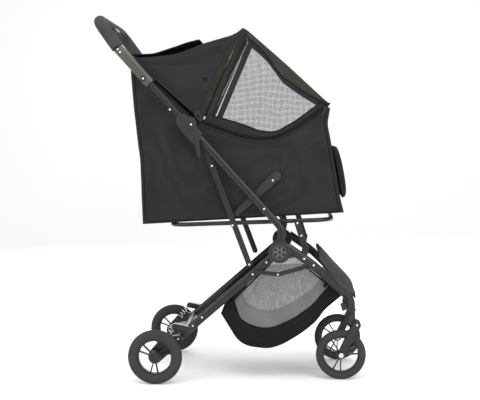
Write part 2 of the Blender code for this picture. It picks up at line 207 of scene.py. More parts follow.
@dataclass(frozen=True)
class Cloth(Finish):
    """A plain-weave cloth, with crossing threads and soft patches of wear."""

    thread: float = 0.0011
    depth: float = 0.00015
    specular: float = 0.10
    patches: float = 9.0

    def threads(self, tree: Tree, coords: bpy.types.NodeSocket) -> bpy.types.NodeSocket:
        """Sets of threads along every direction, laid over each other.

        Args:
            tree: The material's tree.
            coords: Its coordinates.

        Returns:
            The height of the weave.
        """
        sizes = {"Vector": coords, "Scale": 1.0 / (self.thread * 3.2), "Distortion": 0.6, "Detail": 0.0}
        along, up, across = (tree.add("ShaderNodeTexWave", sizes, bands_direction=direction).outputs["Fac"]
                             for direction in ("X", "Z", "Y"))
        return tree.maths("ADD", tree.maths("ADD", along, up), across)

    def build(self) -> bpy.types.Material:
        """Makes the cloth.

        Returns:
            The material.
        """
        material, tree, shader, coords = self.begin()
        weave = self.threads(tree, coords)
        shade = tree.add("ShaderNodeMapRange",
                         {"Value": weave, "From Max": 3.0, "To Min": 0.68, "To Max": 1.28})
        tone = tree.add("ShaderNodeVectorMath",
                        {0: self.mottled(tree, coords), "Scale": shade.outputs["Result"]},
                        operation="SCALE")
        tree.fill(shader, "Base Color", tone.outputs["Vector"])
        self.bump(tree, shader, weave, self.depth)
        return material


@dataclass(frozen=True)
class Netting(Finish):
    """An open net: threads on a square grid with see-through holes."""

    pitch: float = 0.0032
    open_share: float = 0.55
    specular: float = 0.15
    patches: float = 14.0

    def build(self) -> bpy.types.Material:
        """Makes the net.

        Returns:
            The material.
        """
        material, tree, shader, coords = self.begin()
        tree.fill(shader, "Base Color", self.mottled(tree, coords))
        split = tree.add("ShaderNodeSeparateXYZ", {"Vector": coords}).outputs
        edges = [tree.maths("PINGPONG", tree.maths("ADD", split[way], split["Y"]), self.pitch / 2)
                 for way in ("X", "Z")]
        thread = self.pitch / 2 * (1.0 - math.sqrt(self.open_share))
        tree.fill(shader, "Alpha", tree.maths("LESS_THAN", tree.maths("MINIMUM", *edges), thread))
        return material


class Palette:
    """Every finish of the stroller, built once."""

    def __init__(self) -> None:
        """Builds the materials."""
        self.paint = Finish("olive_black_paint", (0.012, 0.012, 0.010), (0.019, 0.019, 0.016), 0.24, 0.20,
                            grain=1400.0, grain_depth=0.00002).build()
        self.link = Finish("black_link_paint", (0.011, 0.011, 0.010), (0.018, 0.018, 0.016), 0.36,
                           0.15).build()
        self.satin = Finish("warm_grey_satin", (0.060, 0.058, 0.048), (0.084, 0.081, 0.068), 0.36,
                            0.45).build()
        self.plastic = Finish("grained_black_plastic", (0.010, 0.010, 0.0095), (0.017, 0.017, 0.016),
                              0.42).build()
        self.rim = Finish("satin_black_rim", (0.008, 0.008, 0.008), (0.013, 0.013, 0.013), 0.35).build()
        self.tyre = Finish("foam_tyre", (0.020, 0.020, 0.017), (0.032, 0.032, 0.028), 0.80,
                           grain=700.0, grain_depth=0.0001).build()
        self.grip = Finish("foam_grip", (0.024, 0.024, 0.021), (0.038, 0.038, 0.034), 0.84,
                           grain=1100.0, grain_depth=0.0002).build()
        self.steel = Finish("bright_steel", (0.62, 0.62, 0.60), (0.72, 0.72, 0.70), 0.25, 1.0).build()
        self.emblem = Finish("pale_print", (0.13, 0.13, 0.12), (0.19, 0.19, 0.175), 0.5).build()
        self.canvas = Cloth("charcoal_canvas", (0.016, 0.016, 0.0172), (0.026, 0.026, 0.0275), 0.92).build()
        self.binding = Cloth("olive_binding", (0.017, 0.017, 0.013), (0.028, 0.028, 0.022), 0.85,
                             thread=0.0008).build()
        self.band = Cloth("black_canvas", (0.0075, 0.0075, 0.0075), (0.013, 0.013, 0.013), 0.92).build()
        self.panel = Cloth("grey_panel_cloth", (0.035, 0.035, 0.037), (0.062, 0.062, 0.066), 0.9).build()
        self.panel_dark = Cloth("front_strip_cloth", (0.024, 0.024, 0.020), (0.042, 0.042, 0.036),
                                0.9).build()
        self.thread = Finish("sewing_thread", (0.020, 0.020, 0.020), (0.036, 0.036, 0.036), 0.8).build()
        self.lining = Cloth("seat_cloth", (0.030, 0.030, 0.031), (0.046, 0.046, 0.048), 0.95,
                            thread=0.0016).build()
        self.window = Netting("window_net", (0.045, 0.045, 0.047), (0.070, 0.070, 0.072), 0.8, pitch=0.0019,
                              open_share=0.80).build()
        self.basket_net = Netting("basket_net", (0.150, 0.150, 0.155), (0.260, 0.260, 0.265), 0.8,
                                  pitch=0.0024,
                                  open_share=0.55).build()


# ---------------------------------------------------------------- shapes

class Workshop:
    """The shapes that every sub-assembly uses, each finished at the origin with its place in its mesh."""

    @staticmethod
    def cleaned(shape: bmesh.types.BMesh, reach: float = MERGE) -> None:
        """Merges a shape's double points and turns its faces outwards."""
        bmesh.ops.remove_doubles(shape, verts=shape.verts, dist=reach)
        bmesh.ops.recalc_face_normals(shape, faces=shape.faces)

    @staticmethod
    def taken(shape: bmesh.types.BMesh, name: str) -> bpy.types.Mesh:
        """The shape as a new mesh of that name, with the shape freed."""
        mesh = bpy.data.meshes.new(name)
        shape.to_mesh(mesh)
        shape.free()
        return mesh

    @staticmethod
    def finish(mesh: bpy.types.Mesh, name: str, materials: list[bpy.types.Material], smooth: float = 40.0
               ) -> bpy.types.Object:
        """Turns a mesh into a shown object with smooth shading up to an angle.

        Args:
            mesh: The mesh, in the row frame.
            name: The piece's name.
            materials: Its materials, in slot order.
            smooth: The sharpest angle that is shaded smooth, in degrees.

        Returns:
            The object.
        """
        shape = bmesh.new()
        shape.from_mesh(mesh)
        Workshop.cleaned(shape)
        for face in shape.faces:
            face.smooth = True
        for edge in shape.edges:
            if len(edge.link_faces) == 2 and edge.calc_face_angle(0.0) > math.radians(smooth):
                edge.smooth = False
        shape.to_mesh(mesh)
        shape.free()
        slots = [face.material_index for face in mesh.polygons]
        mesh.materials.clear()
        for material in materials:
            mesh.materials.append(material)
        mesh.polygons.foreach_set("material_index", slots)
        obj = bpy.data.objects.new(name, mesh)
        bpy.context.scene.collection.objects.link(obj)
        return obj

    @staticmethod
    def applied(obj: bpy.types.Object) -> bpy.types.Mesh:
        """The object's evaluated mesh in the row frame, with the object removed.

        Args:
            obj: A curve, or a mesh with modifiers.

        Returns:
            The mesh.
        """
        if not obj.users_collection:
            bpy.context.scene.collection.objects.link(obj)
        bpy.context.view_layer.update()
        graph = bpy.context.evaluated_depsgraph_get()
        mesh = bpy.data.meshes.new_from_object(obj.evaluated_get(graph))
        mesh.transform(obj.matrix_world)
        bpy.data.objects.remove(obj, do_unlink=True)
        return mesh

    @staticmethod
    def bend(points: list[Vector], reach: float, steps: int = 10) -> list[Vector]:
        """The path with each inner corner replaced by a smooth bend.

        Args:
            points: The path's corners.
            reach: How far from each corner its bend starts.
            steps: Segments in each bend.

        Returns:
            The path.
        """
        path = [points[0]]
        for before, corner, after in zip(points, points[1:], points[2:]):
            back, ahead = before - corner, after - corner
            near = min(reach, back.length * 0.49, ahead.length * 0.49)
            start, end = corner + back.normalized() * near, corner + ahead.normalized() * near
            for k in range(steps + 1):
                t = k / steps
                path.append(start * (1 - t) ** 2 + corner * 2 * t * (1 - t) + end * t * t)
        return path + [points[-1]]

    @staticmethod
    def tube(points: list[Vector], radius: float, flat: float = 1.0, sides: int = 6, cyclic: bool = False
             ) -> bpy.types.Mesh:
        """A capped round or oval tube.

        Args:
            points: The path.
            radius: Half the tube's depth in the side view.
            flat: Its width as a share of its depth.
            sides: The curve's bevel resolution.
            cyclic: Whether the path closes.

        Returns:
            The mesh.
        """
        middle = Vector((0.0, points[0].y, 0.0))
        curve = bpy.data.curves.new("path", "CURVE")
        curve.dimensions = "3D"
        curve.bevel_depth = radius
        curve.bevel_resolution = sides
        curve.use_fill_caps = True
        spline = curve.splines.new("POLY")
        spline.points.add(len(points) - 1)
        spline.use_cyclic_u = cyclic
        for point, spot in zip(spline.points, points):
            offset = spot - middle
            point.co = (offset.x, offset.y / flat, offset.z, 1.0)
        obj = bpy.data.objects.new("path", curve)
        obj.scale.y = flat
        obj.location = middle
        return Workshop.applied(obj)

    @staticmethod
    def plate(outlines: list[list[Point]], low: float, high: float, edge: float = 0.0008) -> bpy.types.Mesh:
        """A flat outline in the side view made solid between two widths, with eased edges.

        Args:
            outlines: The outline and any holes, as (X, Z).
            low: The lower Y.
            high: The upper Y.
            edge: The radius of its edges.

        Returns:
            The mesh.
        """
        curve = bpy.data.curves.new("outline", "CURVE")
        curve.dimensions = "2D"
        curve.fill_mode = "BOTH"
        curve.extrude = (high - low) / 2 - edge
        curve.bevel_depth = edge
        curve.offset = -edge
        curve.bevel_resolution = 2
        for outline in outlines:
            spline = curve.splines.new("POLY")
            spline.points.add(len(outline) - 1)
            spline.use_cyclic_u = True
            for point, (x, z) in zip(spline.points, outline):
                point.co = (x, z, 0.0, 1.0)
        obj = bpy.data.objects.new("outline", curve)
        obj.rotation_euler = (math.pi / 2, 0.0, 0.0)
        obj.location = (0.0, (low + high) / 2, 0.0)
        return Workshop.applied(obj)

    @staticmethod
    def arc(centre: Point, radius: float, start: float, end: float, steps: int = 10) -> list[Point]:
        """Points on an arc in the side view, angles in degrees counted from +X towards +Z.

        Args:
            centre: The arc's centre.
            radius: Its radius.
            start: Its first angle.
            end: Its last angle.
            steps: Its segments.

        Returns:
            The points.
        """
        angles = [math.radians(start + (end - start) * k / steps) for k in range(steps + 1)]
        return [(centre[0] + radius * math.cos(a), centre[1] + radius * math.sin(a)) for a in angles]

    @staticmethod
    def bar(a: Point, b: Point, wide_a: float, wide_b: float | None = None) -> list[Point]:
        """The outline of a flat bar with round ends.

        Args:
            a: One end's centre.
            b: The other end's centre.
            wide_a: The width at a.
            wide_b: The width at b, if it differs.

        Returns:
            The outline.
        """
        heading = math.degrees(math.atan2(b[1] - a[1], b[0] - a[0]))
        return (Workshop.arc(a, wide_a / 2, heading + 90, heading + 270)
                + Workshop.arc(b, (wide_b or wide_a) / 2, heading - 90, heading + 90))

    @staticmethod
    def turned(centre: Point, y: float, profile: list[Point], steps: int = 96) -> bpy.types.Mesh:
        """A closed profile turned about the width axis.

        Args:
            centre: The axis, as (X, Z).
            y: The profile's middle.
            profile: Points of (radius, offset along Y).
            steps: Segments round.

        Returns:
            The mesh.
        """
        shape = bmesh.new()
        ring = [shape.verts.new((r, 0.0, z)) for r, z in profile]
        edges = [shape.edges.new((a, b)) for a, b in zip(ring, ring[1:] + ring[:1])]
        bmesh.ops.spin(shape, geom=ring + edges, axis=(0, 0, 1), cent=(0, 0, 0), angle=math.tau, steps=steps,
                       use_merge=True)
        bmesh.ops.remove_doubles(shape, verts=shape.verts, dist=0.00001)
        spot = Matrix.Translation((centre[0], y, centre[1])) @ Matrix.Rotation(math.pi / 2, 4, "X")
        bmesh.ops.transform(shape, matrix=spot, verts=shape.verts)
        return Workshop.taken(shape, "turned")

    @staticmethod
    def block(centre: Vector, size: Vector, slope: float = 0.0, edge: float = 0.002) -> bpy.types.Mesh:
        """A box with eased edges, turned in the side view.

        Args:
            centre: Its middle.
            size: Its sides.
            slope: Its turn from +X towards +Z, in radians.
            edge: The radius of its edges.

        Returns:
            The mesh.
        """
        shape = bmesh.new()
        bmesh.ops.create_cube(shape, size=1.0)
        bmesh.ops.transform(shape, matrix=Matrix.Diagonal((*size, 1.0)), verts=shape.verts)
        bmesh.ops.bevel(shape, geom=list(shape.edges), offset=edge, segments=3, affect="EDGES", profile=0.5)
        spot = Matrix.Translation(centre) @ Matrix.Rotation(-slope, 4, "Y")
        bmesh.ops.transform(shape, matrix=spot, verts=shape.verts)
        return Workshop.taken(shape, "block")

    @staticmethod
    def merged(*meshes: bpy.types.Mesh) -> bpy.types.Mesh:
        """Several meshes as one, keeping each one's face materials.

        Args:
            meshes: The meshes.

        Returns:
            The joined mesh.
        """
        shape = bmesh.new()
        for mesh in meshes:
            shape.from_mesh(mesh)
        return Workshop.taken(shape, "merged")

    @staticmethod
    def sheet(rows: list[list[Vector]], thick: float, closed: bool = False,
              paint: list[list[int]] | None = None) -> bpy.types.Mesh:
        """A cloth sheet through rows of points, given a thickness inwards.

        Args:
            rows: The points, row by row.
            thick: The thickness.
            closed: Whether each row closes on itself.
            paint: A material slot for each cell.

        Returns:
            The mesh.
        """
        shape = bmesh.new()
        grid = [[shape.verts.new(p) for p in row] for row in rows]
        count = len(rows[0])
        for i in range(len(grid) - 1):
            for j in range(count if closed else count - 1):
                k = (j + 1) % count
                corners = [grid[i][j], grid[i][k], grid[i + 1][k], grid[i + 1][j]]
                face = shape.faces.new(corners)
                face.material_index = paint[i][j] if paint else 0
        Workshop.cleaned(shape, 0.00002)
        mesh = Workshop.taken(shape, "sheet")
        last_slot = max(max(row) for row in paint) if paint else 0
        for _ in range(last_slot + 1):
            mesh.materials.append(None)
        obj = bpy.data.objects.new("sheet", mesh)
        wall = obj.modifiers.new("Wall", "SOLIDIFY")
        wall.thickness = thick
        wall.offset = -1.0
        return Workshop.applied(obj)


class Curve:
    """A line through points in the side view, read by its share of length or by X."""

    def __init__(self, points: list[Point]) -> None:
        """Keeps the points and their distances along the line."""
        self.points = points
        self.lengths = [0.0]
        for a, b in zip(points, points[1:]):
            self.lengths.append(self.lengths[-1] + math.dist(a, b))

    def at(self, share: float) -> Point:
        """The point at this share of the line's length.

        Args:
            share: From 0 to 1.

        Returns:
            The point.
        """
        goal = max(0.0, min(1.0, share)) * self.lengths[-1]
        for (a, b), start, end in zip(zip(self.points, self.points[1:]), self.lengths, self.lengths[1:]):
            if goal <= end or b == self.points[-1]:
                t = (goal - start) / max(end - start, 1e-9)
                return a[0] + (b[0] - a[0]) * t, a[1] + (b[1] - a[1]) * t
        return self.points[-1]

    def smooth(self, share: float, blur: float = 0.035) -> Point:
        """The point at this share, with the line's corners eased.

        Args:
            share: From 0 to 1.
            blur: How far each way the line is averaged.

        Returns:
            The point.
        """
        near = min(blur, share, 1.0 - share)
        spots = [self.at(share + near * k / 3) for k in range(-3, 4)]
        return sum(p[0] for p in spots) / 7, sum(p[1] for p in spots) / 7


class Fittings:
    """Small repeated pieces, made by geometry nodes and then turned into plain meshes."""

    @staticmethod
    def repeated(name: str, spots: list[tuple[Vector, Vector]], fitting: Fitting, sizes: dict[str, float],
                 material: bpy.types.Material) -> bpy.types.Object:
        """Puts a small piece on each spot, facing along its normal.

        Args:
            name: The finished object's name.
            spots: Places and the directions that they face.
            fitting: The small piece.
            sizes: The tree's named inputs, in metres.
            material: The finish.

        Returns:
            The object.
        """
        mesh = bpy.data.meshes.new(name)
        mesh.from_pydata([p for p, _ in spots], [], [])
        facing = mesh.attributes.new("facing", "FLOAT_VECTOR", "POINT")
        facing.data.foreach_set("vector", [c for _, n in spots for c in n])
        obj = bpy.data.objects.new(name, mesh)
        group = bpy.data.node_groups.new(name + "_tree", "GeometryNodeTree")
        for way in ("INPUT", "OUTPUT"):
            group.interface.new_socket("Geometry", in_out=way, socket_type="NodeSocketGeometry")
        keys = {label: group.interface.new_socket(label, in_out="INPUT",
                                                  socket_type="NodeSocketFloat").identifier
                for label in sizes}
        Fittings.grown(Tree(group), fitting, material)
        modifier = obj.modifiers.new("Repeat", "NODES")
        modifier.node_group = group
        for label, value in sizes.items():
            modifier[keys[label]] = value
        return Workshop.finish(Workshop.applied(obj), name, [material])

    @staticmethod
    def grown(tree: Tree, fitting: Fitting, material: bpy.types.Material) -> None:
        """Fills the tree that repeats a piece.

        Args:
            tree: The empty tree, with its inputs and output named.
            fitting: The small piece.
            material: The finish.
        """
        given = tree.add("NodeGroupInput").outputs
        if fitting is Fitting.DOME:
            solid = tree.add(fitting.value, {"Segments": 12, "Rings": 8, "Radius": given["Radius"]})
            flattened = 0.55
        else:
            solid = tree.add(fitting.value,
                             {"Vertices": 6, "Radius": given["Radius"], "Depth": given["Length"]})
            flattened = 1.0
        one = tree.add("GeometryNodeTransform",
                       {"Geometry": solid.outputs["Mesh"], "Scale": (1.0, 1.0, flattened)})
        normal = tree.add("GeometryNodeInputNamedAttribute", {"Name": "facing"}, data_type="FLOAT_VECTOR")
        turn = tree.add("FunctionNodeAlignEulerToVector", {"Vector": normal.outputs["Attribute"]}, axis="Z")
        copies = tree.add("GeometryNodeInstanceOnPoints", {"Points": given["Geometry"],
                                                           "Instance": one.outputs["Geometry"],
                                                           "Rotation": turn.outputs["Rotation"]})
        real = tree.add("GeometryNodeRealizeInstances", {"Geometry": copies.outputs["Instances"]})
        dress = tree.add("GeometryNodeSetMaterial",
                         {"Geometry": real.outputs["Geometry"], "Material": material})
        tree.add("NodeGroupOutput", {"Geometry": dress.outputs["Geometry"]})


def place(point: Point, y: float) -> Vector:
    """A side-view point at a width."""
    return Vector((point[0], y, point[1]))


def outwards(point: Vector, distance: float, rise: float = 0.0) -> Vector:
    """A point moved away from the stroller's middle plane, and up."""
    return point + Vector((0, math.copysign(distance, point.y), rise))


def stand(obj: bpy.types.Object, slot: str, *nodes: str) -> bpy.types.Object:
    """Hides the CAD nodes that a finished piece stands for, and logs the piece's name.

    Args:
        obj: The piece.
        slot: The record's material slot; not used.
        nodes: The CAD nodes that it replaces.

    Returns:
        The piece.
    """
    if nodes:
        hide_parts(*nodes)
    log.info("%s", obj.name)
    return obj


def attach(obj: bpy.types.Object, body: str, slot: str, *nodes: str) -> bpy.types.Object:
    """Fixes a finished piece to the body that it moves with, and hides the CAD nodes that it stands for."""
    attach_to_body(obj, body)
    return stand(obj, slot, *nodes)


def show(mesh: bpy.types.Mesh, name: str, finish: bpy.types.Material, body: str, slot: str, *nodes: str,
         smooth: float = 40.0) -> bpy.types.Object:
    """Finishes a piece of one finish and fixes it to its body.

    Args:
        mesh: The piece's mesh.
        name: Its name.
        finish: Its material.
        body: The body it moves with.
        slot: The record's material slot.
        nodes: The CAD nodes that it replaces.
        smooth: The sharpest angle that is shaded smooth, in degrees.

    Returns:
        The piece.
    """
    return attach(Workshop.finish(mesh, name, [finish], smooth), body, slot, *nodes)


# ---------------------------------------------------------------- the stroller's own points, as (X, Z)

HUB = (0.138, 0.365)
ELBOW = (0.147, 0.426)
SLOPE = math.radians(-47.6)
TUBE_Y = 0.192
REAR_LEG_END = (-0.150, 0.1138)
SEAT_PIVOT = (0.008, 0.436)
SEAT_FRONT_PIVOT = (0.186, 0.443)
STRUT_TOP, STRUT_FOOT = (-0.083, 0.690), (0.054, 0.328)
KNEE = (0.133, 0.301)
FRONT_LINK_FOOT = (0.208, 0.374)
FORK_PIVOT = (0.353, 0.156)
REAR_WHEEL, FRONT_WHEEL = (-0.204, 0.075), (0.309, 0.070)
REAR_WHEEL_Y, CASTER_Y = 0.216, 0.129
REAR_EDGE = Curve([(-0.246, 0.438), (-0.252, 0.616), (-0.269, 0.761), (-0.277, 0.861), (-0.277, 0.897)])
FRONT_EDGE = Curve([(0.314, 0.473), (0.304, 0.509), (0.279, 0.657), (0.268, 0.717), (0.275, 0.758)])
ZIP_LINE = [(-0.026, 0.704), (0.030, 0.684), (0.075, 0.677), (0.123, 0.679), (0.187, 0.711), (0.262, 0.767)]
ROOF = [(-0.277, 0.9000), (-0.221, 0.9010), (-0.154, 0.908), (-0.121, 0.919), (-0.071, 0.9385),
        (0.014, 0.9620), (0.034, 0.9790)]
CABIN_TOP_REAR, CABIN_TOP_LENGTH = -0.277, 0.552
FRONT_TOP = [(0.0346, 0.9790), (0.050, 0.9700), (0.153, 0.880), (0.256, 0.785), (0.272, 0.770)]


def up_tube(distance: float, y: float = 0.0) -> Vector:
    """The point this far up the push tube's line from its elbow, at a width."""
    return Vector((ELBOW[0] - math.cos(SLOPE) * distance, y, ELBOW[1] - math.sin(SLOPE) * distance))


def copied(node: str) -> bpy.types.Mesh:
    """A copy of a CAD node's mesh, ready for smooth shading."""
    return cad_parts[node].data.copy()


@dataclass
class Handle:
    """The padded grip, its two arms, the slim tubes below them and the sliding brackets."""

    palette: Palette
    grip_radius: float = 0.0165
    arm_radius: float = 0.0140
    arm_span: tuple[float, float] = (0.540, 0.671)
    upper_span: tuple[float, float] = (0.330, 0.5395)
    bar: Point = (-0.3628, 1.0000)
    bar_y: float = 0.184
    bracket_span: tuple[float, float] = (0.341, 0.417)
    bracket_y: tuple[float, float] = (0.1823, 0.2025)

    def grip(self) -> None:
        """Builds the bent foam grip with a pocket for the button, and the button."""
        start = self.arm_span[1] + 0.0022
        corners = [up_tube(start, -TUBE_Y), place(self.bar, -self.bar_y), place(self.bar, self.bar_y),
                   up_tube(start, TUBE_Y)]
        foam = Workshop.tube(Workshop.bend(corners, 0.055, 18), self.grip_radius, sides=10)
        travel = Vector((math.cos(SLOPE), 0.0, math.sin(SLOPE)))
        spot = place(self.bar, 0.0) + travel * self.grip_radius
        foam = self.carved(foam, Workshop.block(spot, Vector((0.018, 0.054, 0.024)), SLOPE, 0.001))
        show(foam, "grip_foam", self.palette.grip, "handle", "grip", "handle_grip")
        button = Workshop.block(spot + travel * 0.0025, Vector((0.012, 0.052, 0.022)), SLOPE, 0.0025)
        show(button, "release_button", self.palette.satin, "fold_button", "arms", "fold_button")

    @staticmethod
    def carved(body: bpy.types.Mesh, room: bpy.types.Mesh) -> bpy.types.Mesh:
        """Takes one shape out of another.

        Args:
            body: The shape that is kept.
            room: The shape that is taken out.

        Returns:
            The mesh.
        """
        solids = []
        for mesh in (body, room):
            shape = bmesh.new()
            shape.from_mesh(mesh)
            Workshop.cleaned(shape)
            shape.to_mesh(mesh)
            shape.free()
            solids.append(bpy.data.objects.new("solid", mesh))
            bpy.context.scene.collection.objects.link(solids[-1])
        cutter = solids[0].modifiers.new("Room", "BOOLEAN")
        cutter.object = solids[1]
        cutter.operation = "DIFFERENCE"
        cutter.solver = "EXACT"
        result = Workshop.applied(solids[0])
        bpy.data.objects.remove(solids[1], do_unlink=True)
        return result

    def arms(self, side: Side) -> None:
        """Builds one arm with its cuff, face plate and badge, and the slim tube below it.

        Args:
            side: The side of the stroller.
        """
        y = side.value * TUBE_Y
        low, high = self.arm_span
        arm = Workshop.tube([up_tube(low, y), up_tube(high, y)], self.arm_radius, 0.75, sides=12)
        cuff = Workshop.tube([up_tube(low + 0.004, y), up_tube(low + 0.016, y)], self.arm_radius + 0.0006,
                             0.77,
                             sides=12)
        face = Workshop.block(up_tube(0.605, side.value * 0.2013), Vector((0.090, 0.003, 0.016)), SLOPE,
                              0.001)
        show(Workshop.merged(arm, cuff, face), side.node("arm_shell"), self.palette.satin,
             "handle", "arms", side.node("handle_arm"))
        badge = Workshop.turned((-0.2350, 0.8380), side.value * 0.2028,
                                [(0.0045, 0.0006), (0.0070, 0.0008), (0.0082, 0.0), (0.0070, -0.0008),
                                 (0.0045, -0.0006)], 40)
        show(badge, side.node("arm_badge"), self.palette.plastic, "handle", "arms")
        slim = Workshop.tube([up_tube(distance, y) for distance in self.upper_span], 0.0070, 0.6, sides=10)
        show(slim, side.node("slim_tube"), self.palette.paint,
             "handle", "frame", side.node("upper_tube"))

    def bracket(self, side: Side) -> None:
        """Builds one sliding bracket, with its shield and rib, and its lever.

        Args:
            side: The side of the stroller.
        """
        low, high = self.bracket_y
        length = self.bracket_span[1] - self.bracket_span[0]
        middle = side.value * (low + high) / 2
        halfway = sum(self.bracket_span) / 2
        shell = Workshop.block(up_tube(halfway, middle), Vector((length, high - low, 0.031)), SLOPE, 0.0035)
        way = Workshop.tube([up_tube(self.bracket_span[0] - 0.02, side.value * TUBE_Y),
                             up_tube(self.bracket_span[1] + 0.02, side.value * TUBE_Y)], 0.0113, 0.67,
                            sides=8)
        shell = self.carved(shell, way)
        shield = Workshop.plate([[(-0.1445, 0.7340), (-0.1340, 0.7410), (-0.1120, 0.7350), (-0.0950, 0.7315),
                                  (-0.0900, 0.7230), (-0.0895, 0.6990), (-0.0780, 0.6720), (-0.0880, 0.6590),
                                  (-0.0990, 0.6600), (-0.1230, 0.6850), (-0.1440, 0.7140)]],
                                *side.span(0.1985, high + 0.0002), edge=0.0014)
        rib = Workshop.block(up_tube(halfway, side.value * high), Vector((0.050, 0.0010, 0.012)), SLOPE,
                             0.0004)
        show(Workshop.merged(shell, shield, rib), side.node("bracket_shell"), self.palette.plastic,
             "brackets", "housings", side.node("slide_bracket"))
        lever = Workshop.plate([Workshop.bar((-0.088, 0.668), (-0.082, 0.628), 0.013, 0.010)],
                               *side.span(0.2030, 0.2085), edge=0.0015)
        show(lever, side.node("lever"), self.palette.plastic,
             "latch_" + side.name.lower(), "housings", side.node("latch_lever"))

    def build(self) -> None:
        """Builds the whole handle."""
        self.grip()
        for side in Side:
            self.arms(side)
            self.bracket(side)


